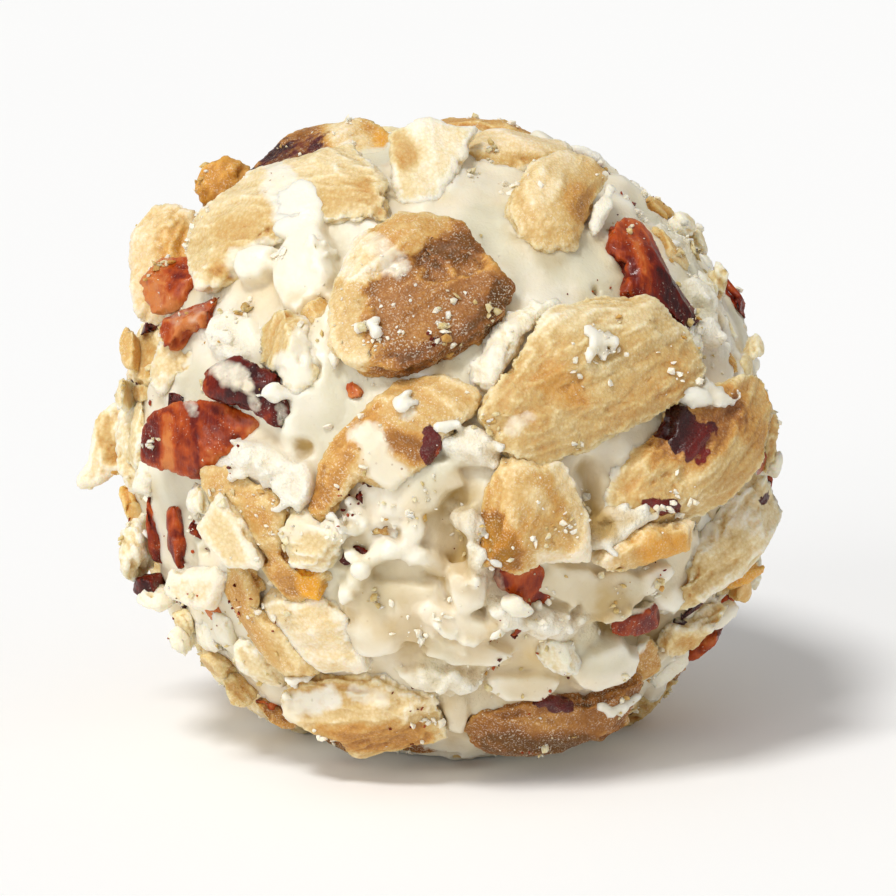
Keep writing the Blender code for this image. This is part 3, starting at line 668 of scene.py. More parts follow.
# How roasted each nut is and how much honey colour, a painted glow of light shining through it, shows in it,
# then its strokes, and how far its fibres turn up from level.
Look = namedtuple("Look", "toast glow strokes grain", defaults=(0.3, 0.0, (), None))
FRONT_LOOKS = {
    "toasted_slab": Look(0.66, 0.10, (
        Stroke("lift", -0.30, 2.6, ((-2.0, 7.0), (0.6, 7.2)), 0.3),
        Stroke("lift", -0.35, 1.2, ((-0.6, 9.4), (0.8, 9.8)), 0.5),
        Stroke("toast", -0.34, 1.5, ((-5.6, 4.8), (-5.7, 8.0), (-5.0, 9.6)), 0.25),
        Stroke("toast", -0.22, 1.3, ((-4.6, 9.4), (-3.4, 10.8), (-1.0, 11.6)), 0.3),
        Stroke("toast", 0.28, 0.9, ((-0.4, 9.7), (1.2, 10.2))),
        Stroke("toast", 0.30, 0.7, ((2.9, 8.2), (1.4, 6.0), (-0.5, 4.9), (-2.2, 4.2))),
        Stroke("film", 0.75, 0.9, ((-3.4, 10.0), (-2.7, 9.0))),
    )),
    "toasted_02": Look(0.32, 0.05, (Stroke("lift", -1.2, 9.0, ((12.0, 8.0), (13.0, 8.0)), 0.1),)),
    "toasted_hood": Look(0.50, 0.15, (
        Stroke("toast", 0.30, 1.8, ((-9.6, 13.8), (-7.4, 14.6))),
        Stroke("stain", 0.35, 1.2, ((-9.0, 14.2), (-7.0, 15.2))),
        Stroke("toast", -0.32, 1.2, ((-5.4, 15.9), (-4.4, 14.6))),
        Stroke("glow", 0.50, 0.7, ((-3.1, 13.0), (-3.3, 15.6))),
        Stroke("toast", 0.35, 0.7, ((-4.0, 12.6), (-3.1, 12.4))),
    )),
    "pale_log": Look(0.20, 0.05, (
        Stroke("toast", 0.08, 1.2, ((-11.0, 11.0), (-9.2, 10.8))),
        Stroke("toast", 0.24, 0.5, ((-11.8, 9.0), (-11.0, 8.7))),
        Stroke("toast", 0.15, 0.8, ((-6.2, 12.3), (-4.2, 12.8))),
        Stroke("film", 1.00, 1.2, ((-8.6, 13.6), (-7.9, 11.4), (-7.5, 8.4))),
        Stroke("film", 0.90, 1.0, ((-10.6, 9.3), (-9.4, 9.8))),
    )),
    "pale_frosted": Look(0.16, 0.05, (
        Stroke("toast", 0.12, 1.3, ((-8.4, 6.2), (-8.5, 5.2))),
        Stroke("film", 0.90, 0.8, ((-7.5, 5.4), (-7.5, 3.6), (-8.4, 4.3))),
    )),
    "pale_block": Look(0.31, 0.03, (
        Stroke("toast", 0.12, 1.3, ((5.1, 3.6), (6.0, 3.0))),
        Stroke("glow", 0.10, 1.2, ((5.2, 3.4), (5.9, 3.0))),
        Stroke("toast", 0.06, 1.6, ((7.4, 1.6), (11.6, 3.6))),
        Stroke("toast", -0.06, 1.2, ((5.2, 6.6), (9.0, 7.0), (11.4, 6.0))),
        Stroke("film", 0.60, 0.6, ((3.0, 0.9), (4.0, 1.5))),
    ), 27),
    "pale_layer": Look(0.03, 0.03, (Stroke("film", 0.6, 0.8, ((2.2, 5.0), (3.0, 6.2))),)),
    "toasted_arc": Look(0.36, 0.15, (
        # Darker down the arc's left side: its roast, and painted shade in the hollow under the arch.
        Stroke("toast", 0.20, 0.9, ((-6.6, -2.6), (-5.4, 0.0), (-4.0, 1.6))),
        Stroke("toast", 0.35, 0.9, ((-3.0, 0.3), (-1.6, -0.2))),
        Stroke("stain", 0.90, 0.6, ((-0.9, 0.5), (-0.8, -0.5))),
        Stroke("film", 0.95, 1.1, ((-4.1, 0.6), (-3.4, -1.0), (-2.4, -1.8))),
        Stroke("film", 0.70, 0.6, ((-2.2, 2.1), (-2.1, 1.7))),
    )),
    "golden_shield": Look(0.34, 0.14, (
        Stroke("toast", 0.70, 1.1, ((2.0, -4.2), (2.8, -5.4)), 0.8),
        Stroke("glow", 0.30, 1.0, ((2.0, -4.4), (2.8, -5.2))),
        Stroke("toast", -0.20, 0.7, ((5.6, -1.0), (6.6, -3.4), (6.8, -5.4))),
        Stroke("toast", -0.18, 0.5, ((4.0, -2.2), (4.8, -3.0))),
        Stroke("toast", -0.28, 0.5, ((4.6, -5.6), (6.8, -5.7))),
    )),
    "pale_blushed": Look(0.32, 0.05, (
        Stroke("stain", 1.00, 1.25, ((11.4, 1.0), (12.3, 0.6))),
        Stroke("toast", 0.32, 1.7, ((11.0, 0.2), (12.6, 0.6), (13.2, 1.4))),
        Stroke("stain", 0.75, 0.45, ((9.8, -2.8), (11.4, -3.1))),
        Stroke("film", 0.85, 0.7, ((11.6, 2.7), (13.0, 2.5))),
        Stroke("toast", 0.12, 1.0, ((14.4, 2.4), (15.4, 0.6))),
    )),
    "pale_wing": Look(0.14, 0.04, (
        Stroke("toast", 0.12, 1.0, ((12.0, -7.0), (14.5, -5.0))),
        Stroke("stain", 0.50, 0.25, ((15.9, -2.5), (15.7, -2.7))),
    )),
    "pale_keel": Look(0.20, 0.04, (Stroke("toast", 0.2, 0.5, ((10.8, -9.9), (12.8, -9.6))),)),
    "golden_wedge": Look(0.26, 0.22, (
        Stroke("toast", 0.16, 1.2, ((10.0, -5.2), (11.4, -5.4))),
        Stroke("glow", 0.35, 1.0, ((10.2, -5.3), (11.6, -5.4))),
    )),
    "golden_cube": Look(0.29, 0.10, (
        Stroke("toast", 0.12, 0.9, ((6.4, 12.6), (6.4, 11.0))),
        Stroke("toast", 0.10, 1.0, ((7.4, 13.6), (6.8, 12.0))),
        Stroke("toast", -0.12, 0.9, ((4.4, 12.8), (5.6, 14.2))),
    )),
    "golden_stick": Look(0.15, 0.14, (Stroke("toast", 0.14, 0.6, ((0.8, 14.4), (6.0, 14.4))),)),
    "golden_half": Look(0.18, 0.16, (
        Stroke("toast", 0.14, 1.2, ((-13.9, 10.6), (-13.9, 8.0))),
        Stroke("glow", 0.30, 1.0, ((-13.8, 10.2), (-13.9, 8.0))),
    )),
    "golden_orange": Look(0.60, 0.40, (Stroke("toast", 0.3, 1.0, ((-12.0, 11.6), (-10.6, 11.6))),)),
    "golden_yellow": Look(0.14, 0.10),
    "pale_left": Look(0.28, 0.10),
    "pale_left_tall": Look(0.10, 0.03),
    "pale_rough": Look(0.16, 0.03, (Stroke("film", 0.8, 0.9, ((-8.2, -4.2), (-7.0, -3.8))),)),
    "pale_base": Look(0.28, 0.10, (
        # Darker along its underside by the floor: painted contact shade.
        Stroke("toast", 0.28, 0.9, ((-6.4, -14.6), (-1.6, -14.6))),
        Stroke("film", 0.85, 0.9, ((-8.0, -13.2), (-6.2, -12.6))),
        Stroke("film", 0.70, 0.6, ((-4.8, -12.4), (-3.4, -12.6))),
    )),
    "toasted_base": Look(0.74, 0.12, (
        # Darker along its underside by the floor, lighter just above: painted contact shade.
        Stroke("toast", 0.26, 0.8, ((2.2, -15.0), (6.6, -15.0))),
        Stroke("toast", -0.14, 0.8, ((4.4, -14.0), (7.6, -13.8))),
        Stroke("stain", 0.60, 0.5, ((4.6, -12.8), (5.8, -13.0))),
    )),
    "toasted_bar_upper": Look(0.36, 0.10, (
        Stroke("toast", 0.14, 1.0, ((-8.6, -5.6), (-7.6, -7.2))),
        Stroke("glow", 0.85, 0.8, ((-7.1, -6.5), (-6.7, -7.4))),
    )),
    "toasted_bar_lower": Look(0.42, 0.12),
    "flake_almond": Look(0.09, 0.02, (Stroke("toast", 0.26, 0.9, ((-2.8, 15.6), (-2.2, 14.6))),)),
    "flake_shard": Look(0.18, 0.05, (Stroke("toast", 0.20, 0.5, ((-17.4, 1.2), (-17.0, -0.6))),)),
    "flake_left_upper": Look(0.14, 0.04),
    "flake_left_lower": Look(0.12, 0.04),
    "skin_amber": Look(0.14, 0.0, (
        Stroke("toast", 0.30, 0.9, ((-13.4, 8.8), (-13.4, 7.6))),
        Stroke("toast", -0.20, 0.6, ((-15.4, 8.8), (-15.2, 7.6))),
    )),
    "skin_dusty": Look(0.32, 0.0, (Stroke("film", 0.35, 1.0, ((-13.6, 6.8), (-12.8, 7.0))),)),
    "skin_mahogany": Look(0.44, 0.0, (
        Stroke("toast", 0.25, 0.9, ((-15.4, -0.2), (-14.6, 1.2))),
        Stroke("toast", -0.50, 0.45, ((-14.3, 1.4), (-14.1, -0.8))),
        Stroke("toast", 0.25, 0.25, ((-12.9, 1.8), (-12.7, -1.2))),
        Stroke("film", 0.55, 0.4, ((-13.1, 2.2), (-12.9, 1.8))),
    )),
    "skin_plum": Look(1.05, 0.0, (
        Stroke("toast", -0.35, 0.9, ((-12.1, 4.2), (-11.9, 3.0))),
        Stroke("film", 0.75, 0.8, ((-11.5, 3.9), (-10.4, 3.3))),
        Stroke("film", 0.60, 0.4, ((-10.1, 2.9), (-9.8, 2.0))),
        Stroke("film", 0.60, 0.4, ((-8.5, 2.0), (-8.4, 1.2))),
    )),
    "skin_russet": Look(0.62, 0.0, (
        Stroke("toast", -0.25, 0.9, ((8.8, 11.2), (9.6, 10.4))),
        Stroke("toast", 0.45, 0.6, ((10.4, 8.6), (12.0, 6.4))),
        Stroke("toast", -0.30, 0.4, ((9.2, 9.8), (10.4, 8.4))),
    )),
    "skin_chip": Look(0.52, 0.0, (
        Stroke("toast", -0.14, 0.8, ((3.4, -6.4), (4.4, -6.6))),
        Stroke("film", 0.40, 0.5, ((2.2, -6.0), (2.4, -7.2))),
    )),
}
KIND_TOAST = {"toasted": 0.52, "pale": 0.24, "golden": 0.38, "flake": 0.16, "skin": 0.52}
KIND_SLOTS = {
    "toasted": "toasted_nut", "pale": "pale_nut", "golden": "golden_nut",
    "flake": "nut_flake", "skin": "nut_skin",
}
KIND_DUST = {"toasted": 0.75, "pale": 0.25, "golden": 0.6, "flake": 0.1, "skin": 0.5}

NUT_GROWTH = 0.18
CHIP_GROWTH = 0.10
NUT_SHARE = 0.62
FILM_RADIUS = 15.6
NUT_RELIEF_ROUNDS = 20

# How each kind is broken: how many facets, how deep they are, how lumpy it is, how deep the steps
# between its layers and its fibres are, how far its edge is nibbled and notched, how rough it is.
Break = namedtuple("Break", "facets bite lumps ledges terraces fibres nibbles notches rough")
BREAKS = {
    "toasted": Break(6, 0.40, 0.10, 0.08, 0.05, 0.03, 0.14, 0.20, 0.016),
    "pale": Break(7, 0.42, 0.10, 0.12, 0.08, 0.08, 0.18, 0.26, 0.014),
    "golden": Break(6, 0.38, 0.08, 0.08, 0.05, 0.03, 0.13, 0.16, 0.012),
    "flake": Break(2, 0.12, 0.05, 0.06, 0.04, 0.02, 0.14, 0.18, 0.010),
    "skin": Break(9, 0.36, 0.04, 0.03, 0.04, 0.02, 0.20, 0.44, 0.010),
}


def knapped(points, count, bite, outward, rng):
    """The points with flat facets shaved off, as a knife or a break leaves them."""
    for _ in range(count):
        facing = outward + random_direction(rng) * rng.uniform(0.3, 1.3)
        facing /= np.linalg.norm(facing)
        heights = points @ facing
        limit = heights.max() - rng.uniform(0.2, 1.0) * bite
        points = points - facing * np.maximum(heights - limit, 0)[:, None]
    return points


def weather(shape, kind, middle, rng, growth, turn=None):
    """Breaks up the shape as broken nut does: lumps, flat facets, ledges, fibres and grains."""
    outward = middle / np.linalg.norm(middle)
    broken = BREAKS[kind]
    seed = rng.uniform(0, 90)
    lumps = NOISE.layered(shape.points + seed, 2.6, 2) * broken.lumps
    points = shape.points + shape.normals() * (lumps + growth)[:, None]
    shape.points = knapped(points, broken.facets, broken.bite, outward, rng)
    normals = shape.normals()
    sideways = 1 - np.abs(normals @ outward)
    grain = random_direction(rng)
    if turn is not None:
        grain = ACROSS * math.cos(math.radians(turn)) + UPWARD * math.sin(math.radians(turn))
    grain = grain - outward * (grain @ outward)
    grain /= np.linalg.norm(grain)
    drawn = shape.points - np.outer(shape.points @ grain, grain) * 0.8
    depth = shape.points @ outward + NOISE.single(shape.points + seed, 1.6) * 0.35
    push = (np.abs(depth / 0.55 % 1 - 0.5) - 0.25) * 4 * broken.ledges * sideways
    steps = NOISE.layered(drawn + seed, 2.4, 4) * 3.5
    push += (np.floor(steps) + smooth_step(0.85, 1.0, steps % 1)) * broken.terraces
    strands = NOISE.ridged(drawn + seed, 0.62)
    push += (strands - 0.4) * broken.fibres
    push += NOISE.layered(shape.points + seed, 0.9, 2) * (0.015 + 0.08 * sideways)
    push -= smooth_step(0.0, 0.6, NOISE.layered(shape.points + seed + 5, 0.7, 2)) * broken.nibbles * sideways
    push -= smooth_step(0.25, 0.55, NOISE.layered(shape.points + seed + 9, 1.5, 3)) * broken.notches * sideways
    push += NOISE.single(shape.points + 9, 0.30) * broken.rough
    shape.points = shape.points + normals * push[:, None]
    shape.masks["fibre"] = strands * 0.6 + NOISE.ridged(drawn + seed + 4, 0.34) * 0.4


def laid(stroke, points, places):
    """How strongly a stroke is laid at each point, from 0 to 1."""
    ragged = 0.5 if stroke.mask == "stain" else 0.28
    away = line_distance(places, stroke.corners) / stroke.width + NOISE.layered(points + 3, 1.0, 3) * ragged
    return 1 - smooth_step(1.1 - stroke.fade, 1.1, away)


def lay_masks(shape, kind, look):
    """Fills in the masks that the materials read."""
    places = seen_from_front(shape.points)[0]
    count = len(shape.points)
    relief = shape.relief(NUT_RELIEF_ROUNDS)
    clouds = NOISE.layered(shape.points + 20, 3.4, 2)
    masks = {
        "toast": look.toast + clouds * 0.10,
        "glow": np.full(count, look.glow),
        "stain": np.zeros(count),
        "film": np.zeros(count),
        "dust": np.full(count, KIND_DUST[kind]),
        # These two masks paint light and shade: a lighter crest where the surface stands out, and painted shade where
        # it sinks.
        "crest": smooth_step(0.02, 0.12, relief),
        "hollow": smooth_step(0.02, 0.12, -relief),
    }
    for stroke in look.strokes:
        if stroke.mask != "lift":
            masks[stroke.mask] = masks[stroke.mask] + stroke.amount * laid(stroke, shape.points, places)
    reach = np.linalg.norm(shape.points, axis=1)
    ragged = NOISE.layered(shape.points + 31, 1.6, 3) * 0.35
    masks["film"] = np.maximum(masks["film"], 1 - smooth_step(-0.12, 0.12, reach - FILM_RADIUS - ragged))
    shape.masks.update(masks)


def random_strokes(shape, kind, rng):
    """Strokes for a nut away from the front, as spots in space."""
    spots = []
    for _ in range(rng.randint(2, 4)):
        mask = rng.choice(("toast", "toast", "toast", "film", "stain" if kind != "flake" else "glow"))
        amount = rng.choice((-0.25, 0.25, 0.4)) if mask == "toast" else rng.uniform(0.6, 1.0)
        width = rng.uniform(0.9, 2.0) if mask == "toast" else rng.uniform(0.6, 1.2)
        spots.append((mask, amount, width, shape.points[rng.randrange(len(shape.points))]))
    return spots


def nut_shape(name, rng, detail):
    """The finished shape of one nut, from its solid."""
    kind = name.split("_")[0]
    shape = Shape.of_node(name)
    middle = shape.points.mean(0)
    shape = shape.remeshed(detail)
    look = FRONT_LOOKS.get(name)
    if look is not None:
        places = seen_from_front(shape.points)[0]
        lift = sum(stroke.amount * laid(stroke, shape.points, places)
                   for stroke in look.strokes if stroke.mask == "lift")
        shape.points = shape.points + np.outer(lift * np.ones(len(shape.points)), middle / np.linalg.norm(middle))
    weather(shape, kind, middle, rng, NUT_GROWTH, look and look.grain)
    if look is None:
        toast = KIND_TOAST[kind] + rng.uniform(-0.14, 0.14)
        look = Look(toast, rng.uniform(0, 0.25) if kind == "golden" else rng.uniform(0, 0.1))
        lay_masks(shape, kind, look)
        for mask, amount, width, spot in random_strokes(shape, kind, rng):
            away = np.linalg.norm(shape.points - spot, axis=1) / width
            near = 1 - smooth_step(0.4, 1.1, away + NOISE.single(shape.points + 3, 0.8) * 0.3)
            shape.masks[mask] = shape.masks[mask] + amount * near
    else:
        lay_masks(shape, kind, look)
    return shape.thinned(NUT_SHARE)


def make_nuts(kinds):
    """Every nut of these kinds, each in place of its solid."""
    rng = random.Random("".join(kinds))
    detail = bpy.context.scene.truffle_nuts.detail / MM
    for name in sorted(frame["nodes"]):
        kind = name.split("_")[0]
        if kind not in kinds:
            continue
        if kind == "skin":
            material = material_of("nut_skin_finish", skin_material)
        else:
            material = material_of("broken_nut", nut_material)
        nut_shape(name, rng, detail).placed("nut_" + name, material, (name,), KIND_SLOTS[kind])


# ---------------------------------------------------------------- chips too small to be solids

# A chip: where it lies on the front, its length and width, how far its length turns up from level,
# how far it stands off the ball, how much it faces the front, how thick it is, and its look.
Chip = namedtuple("Chip", "kind place size turn stand facing thick toast glow film", defaults=(0.0, 0.0))
FRONT_CHIPS = (
    Chip("flake", (7.8, 12.2), (3.8, 0.8), 62, 1.9, 0.3, 0.7, 0.02),
    Chip("golden", (11.3, 10.0), (2.9, 1.0), -67, 1.1, 0.4, 1.0, 0.34, 0.2),
    Chip("skin", (11.2, 9.9), (1.4, 0.7), -62, 1.15, 0.4, 0.9, 0.90),
    Chip("golden", (14.2, 4.6), (2.1, 1.7), 80, 0.9, 0.6, 1.4, 0.40, 0.1),
    Chip("golden", (15.0, -6.4), (2.7, 1.5), 20, 0.3, 0.7, 1.4, 0.46, 0.7),
    Chip("skin", (9.6, -8.9), (3.2, 2.0), -20, 0.9, 0.1, 1.2, 0.60),
    Chip("skin", (8.9, -8.9), (1.1, 1.3), 60, 0.75, 0.1, 0.8, 0.62),
    Chip("toasted", (9.8, -11.0), (2.8, 2.0), -72, 1.0, 0.3, 1.4, 0.48),
    Chip("pale", (-12.9, -2.9), (2.3, 1.1), -65, 1.4, 0.3, 1.0, 0.08),
    Chip("skin", (-14.0, -4.4), (3.7, 1.2), 84, 1.3, 0.4, 0.7, 0.62, 0.0, 0.15),
    Chip("skin", (-13.1, -4.3), (1.8, 0.7), -38, 1.3, 0.3, 0.6, 0.85),
    Chip("skin", (-12.5, -5.3), (0.9, 0.6), 0, 1.2, 0.3, 0.6, 0.80),
    Chip("skin", (-15.1, -4.2), (3.8, 0.8), 94, 1.1, 0.5, 0.9, 0.70),
    Chip("pale", (-16.1, -5.2), (3.2, 1.4), 70, 0.9, 0.7, 1.6, 0.16),
    Chip("skin", (-15.6, -7.1), (2.6, 1.1), 8, 1.0, 0.6, 1.2, 0.88),
    Chip("skin", (-14.1, -8.1), (1.2, 0.5), 45, 1.0, 0.5, 0.8, 0.90),
    Chip("golden", (-13.5, -8.9), (1.8, 1.2), 100, 0.9, 0.5, 1.2, 0.34),
    Chip("flake", (-13.7, -9.8), (1.4, 0.6), 105, 0.8, 0.5, 0.6, 0.12),
    Chip("skin", (-12.3, -8.3), (2.1, 1.0), 5, 1.2, 0.4, 0.7, 0.24, 0.0, 0.2),
    Chip("pale", (-9.7, -11.0), (3.2, 2.1), -40, 1.3, 0.3, 1.2, 0.12),
    Chip("golden", (-11.8, -11.2), (2.4, 1.0), -10, 0.9, 0.4, 1.2, 0.42),
    Chip("pale", (-12.3, -9.7), (2.6, 2.1), -40, 1.0, 0.4, 1.4, 0.06, 0.0, 0.3),
    Chip("skin", (-5.0, -5.6), (2.1, 1.4), 0, 1.0, 0.1, 0.9, 0.85),
    Chip("skin", (-5.2, -2.85), (0.9, 0.4), -20, 1.7, 0.2, 0.5, 0.45),
    Chip("skin", (-4.55, -2.5), (0.8, 0.3), -60, 1.7, 0.2, 0.5, 0.45),
    Chip("skin", (-4.9, 2.9), (1.2, 0.9), -60, 1.1, 0.1, 0.6, 0.30),
    Chip("golden", (-3.3, -4.3), (2.0, 0.9), -10, 0.9, 0.1, 0.8, 0.50),
    Chip("toasted", (-1.8, -3.5), (1.0, 0.5), -20, 1.2, 0.1, 0.4, 0.55, 0.4),
    Chip("skin", (-0.9, 0.0), (1.6, 0.8), 75, 1.5, 0.1, 0.6, 0.85),
    Chip("golden", (-6.8, 6.9), (2.0, 1.1), 40, 1.0, 0.1, 0.9, 0.44, 0.2),
    Chip("toasted", (13.8, 6.5), (1.0, 0.8), -60, 1.0, 0.5, 0.8, 0.55),
    Chip("pale", (5.5, -10.6), (2.7, 1.5), -48, 1.3, 0.2, 1.2, 0.14, 0.0, 0.2),
    Chip("skin", (-15.6, 6.1), (1.4, 0.45), 0, 1.1, 0.6, 0.6, 0.80),
    Chip("golden", (-16.3, 5.0), (2.5, 0.9), -75, 0.9, 0.7, 0.8, 0.32, 0.2),
    Chip("pale", (-16.7, 2.8), (1.8, 1.1), 90, 0.9, 0.7, 0.9, 0.14),
    Chip("golden", (-15.7, 2.8), (1.9, 1.1), 0, 0.9, 0.6, 0.8, 0.36),
    Chip("skin", (-14.3, 2.3), (1.2, 1.1), 0, 1.5, 0.3, 0.7, 0.98),
    Chip("skin", (12.9, -7.7), (3.8, 0.5), 34, 1.25, 0.4, 0.7, 0.92),
    Chip("skin", (12.7, -4.0), (1.8, 0.35), -75, 0.9, 0.3, 0.6, 0.80),
    Chip("toasted", (12.9, -4.0), (2.2, 1.3), -60, 0.5, 0.3, 0.9, 0.72),
    Chip("pale", (15.9, 3.7), (0.8, 0.7), 0, 0.9, 0.6, 0.8, 0.20),
    Chip("skin", (-7.5, 7.8), (0.5, 0.3), 30, 1.1, 0.2, 0.4, 0.60),
    Chip("skin", (7.2, 7.9), (0.8, 0.5), 20, 0.7, 0.2, 0.4, 0.62),
    Chip("skin", (3.4, -9.6), (1.8, 0.3), 55, 1.4, 0.2, 0.4, 0.50),
    Chip("pale", (-15.9, 0.5), (4.6, 1.8), 80, 1.0, 0.5, 1.2, 0.20),
    Chip("pale", (-14.3, 4.3), (3.6, 2.9), -30, 1.2, 0.4, 1.2, 0.18, 0.06),
    Chip("pale", (13.2, 8.2), (1.8, 1.2), -60, 1.0, 0.4, 1.0, 0.12),
    Chip("golden", (12.6, 10.2), (1.5, 1.0), -40, 1.0, 0.4, 1.0, 0.26),
    Chip("pale", (12.4, 5.6), (1.6, 1.3), -70, 1.1, 0.4, 0.9, 0.06),
    Chip("skin", (13.6, 6.9), (1.0, 0.8), -60, 1.2, 0.5, 0.7, 0.40),
    Chip("pale", (14.4, 6.2), (1.6, 1.1), -70, 1.0, 0.5, 1.0, 0.16),
    Chip("flake", (-15.5, -1.6), (1.8, 1.1), 80, 1.1, 0.5, 0.8, 0.12),
    Chip("skin", (-9.4, -13.2), (1.4, 0.7), -20, 0.9, 0.3, 0.7, 0.55),
    Chip("golden", (-10.9, -12.6), (2.2, 0.9), -30, 0.6, 0.3, 0.9, 0.40),
    Chip("skin", (-9.6, -12.5), (2.2, 0.8), -24, 0.9, 0.3, 0.8, 0.50),
    # Brown chips along the underside: real nuts, whose dark toast also stands in for the contact shade under the ball.
    Chip("toasted", (-8.8, -13.8), (2.6, 1.2), -18, 0.6, 0.3, 1.0, 0.62),
    Chip("toasted", (-1.6, -15.2), (4.0, 1.4), 2, 0.6, 0.2, 1.0, 0.70),
    Chip("toasted", (-5.8, -15.0), (3.4, 1.2), -6, 0.5, 0.2, 1.0, 0.66),
    Chip("toasted", (8.2, -14.2), (3.0, 1.4), 16, 0.6, 0.2, 1.0, 0.66),
    Chip("golden", (1.2, -15.6), (2.4, 1.0), 0, 0.6, 0.2, 1.0, 0.52),
    Chip("pale", (-13.7, 0.4), (1.4, 1.0), 30, 0.9, 0.3, 0.8, 0.20),
    Chip("golden", (-10.4, 7.2), (1.0, 0.7), 20, 1.0, 0.3, 0.6, 0.30),
    Chip("pale", (-5.4, 4.4), (1.6, 0.9), 70, 1.0, 0.2, 0.8, 0.22, 0.0, 0.4),
    Chip("pale", (13.9, 8.6), (1.4, 1.0), -50, 0.8, 0.4, 0.9, 0.18),
    Chip("flake", (-15.0, -7.7), (1.9, 1.1), 0, 0.9, 0.5, 0.8, 0.02, 0.0, 0.3),
    Chip("flake", (-11.4, -9.3), (2.6, 1.3), 100, 1.2, 0.3, 0.8, 0.02, 0.0, 0.3),
    Chip("flake", (3.4, -8.1), (1.6, 0.7), -30, 1.9, 0.3, 0.6, 0.00, 0.0, 0.4),
    Chip("flake", (2.5, -9.3), (1.3, 0.6), 50, 1.7, 0.4, 0.5, 0.00, 0.0, 0.4),
    Chip("flake", (-5.9, 4.6), (1.7, 0.6), 80, 1.7, 0.3, 0.5, 0.04, 0.0, 0.3),
    Chip("flake", (11.1, -11.2), (2.8, 1.1), 44, 1.0, 0.5, 0.5, 0.00, 0.0, 0.3),
    Chip("skin", (7.0, -9.0), (0.5, 0.25), 10, 1.8, 0.3, 0.4, 0.60),
    Chip("toasted", (-4.3, -1.7), (1.9, 0.5), -12, 1.3, 0.2, 0.6, 0.80),
)
CHIP_DETAIL = 0.13
CHIP_SHARE = 0.55
CORNER_COUNTS = (4, 5, 6)

# Chips scattered where the front doesn't show.
SCATTER_COUNT = 225
SCATTER_TRIES = 5
CHIP_ROOM = 0.8
SCATTER_KINDS = "pale pale pale golden golden toasted toasted flake flake skin skin".split()
FAMILIES = {
    "toasted": ("chips_toasted", "broken_nut", nut_material, "toasted_nut"),
    "pale": ("chips_pale", "broken_nut", nut_material, "pale_nut"),
    "golden": ("chips_golden", "broken_nut", nut_material, "golden_nut"),
    "flake": ("chips_flake", "broken_nut", nut_material, "nut_flake"),
    "skin": ("chips_skin", "nut_skin_finish", skin_material, "nut_skin"),
}


def front_frame(place, turn, stand, facing):
    """The middle, the outward normal and the length's direction of what lies at a place on the front."""
    reach = max(BALL_RADIUS + stand, math.hypot(*place) + 0.3)
    middle = on_sphere(*place, reach)
    normal = middle / np.linalg.norm(middle) * (1 - facing) + FORWARD * facing
    normal /= np.linalg.norm(normal)
    along = ACROSS * math.cos(math.radians(turn)) + UPWARD * math.sin(math.radians(turn))
    along = along - normal * (along @ normal)
    return middle, normal, along / np.linalg.norm(along)


def ragged_outline(rng, size, corners):
    """The places round a broken outline, along it and across it."""
    start = rng.uniform(0, math.tau)
    places = []
    for index in range(corners):
        angle = start + (index + rng.uniform(-0.32, 0.32)) * math.tau / corners
        reach = rng.uniform(0.78, 1.18) / 2
        places.append((size[0] * reach * math.cos(angle), size[1] * reach * math.sin(angle)))
    return places


# A slab's profile from the top ring to the bottom one: how wide, and how high for its thickness.
CHIP_PROFILE = ((0.62, 0.14), (1.0, -0.06), (0.95, -0.5), (0.72, -1.0))
FOLD_PROFILE = ((0.72, 0.08), (0.97, -0.02), (1.02, -0.3), (1.15, -1.0))


def slab_shape(middle, normal, along, outline, thick, profile):
    """A closed slab with this profile, bent a little round the ball."""
    side = np.cross(normal, along)
    rim = np.array([along * u + side * v - normal * (u * u + v * v) / (2.6 * BALL_RADIUS) for u, v in outline])
    rings = [middle + rim * wide + normal * lift * thick for wide, lift in profile]
    points = np.concatenate(rings + [[middle + normal * 0.16 * thick, middle - normal * thick]])
    count = len(outline)
    faces = []
    for index in range(count):
        after = (index + 1) % count
        for ring in range(len(rings) - 1):
            upper, lower = ring * count, (ring + 1) * count
            faces.append((upper + index, lower + index, lower + after, upper + after))
        faces.append((index, after, len(points) - 2))
        last = (len(rings) - 1) * count
        faces.append((last + after, last + index, len(points) - 1))
    return Shape(points, faces)


def chip_shape(chip, middle, normal, along, rng):
    """The finished shape of one chip."""
    outline = ragged_outline(rng, chip.size, rng.choice(CORNER_COUNTS))
    thick = chip.thick + max(0, np.linalg.norm(middle) - BALL_RADIUS - chip.stand)
    shape = slab_shape(middle, normal, along, outline, thick, CHIP_PROFILE).remeshed(CHIP_DETAIL)
    weather(shape, chip.kind, middle, rng, CHIP_GROWTH)
    lay_masks(shape, chip.kind, Look(chip.toast, chip.glow))
    shape.masks["film"] = np.maximum(shape.masks["film"], chip.film)
    return shape.thinned(CHIP_SHARE)


def random_chip(rng):
    """A chip of any kind and size, for where the front doesn't show."""
    kind = rng.choice(SCATTER_KINDS)
    length = rng.uniform(1.4, 4.2)
    size = (length, length * rng.uniform(0.35, 0.85))
    thick = rng.uniform(0.5, 0.8) if kind in ("flake", "skin") else rng.uniform(0.8, 1.6)
    toast = KIND_TOAST[kind] + rng.uniform(-0.15, 0.2)
    return Chip(kind, None, size, None, rng.uniform(0.5, 1.4), None, thick, toast, rng.choice((0.0, 0.0, 0.3)))


def leaning_frame(direction, stand, rng):
    """The middle, normal and length's direction of something that leans a little on the ball."""
    normal = direction + random_direction(rng) * 0.35
    normal /= np.linalg.norm(normal)
    along = np.cross(normal, random_direction(rng))
    return direction * (BALL_RADIUS + stand), normal, along / np.linalg.norm(along)


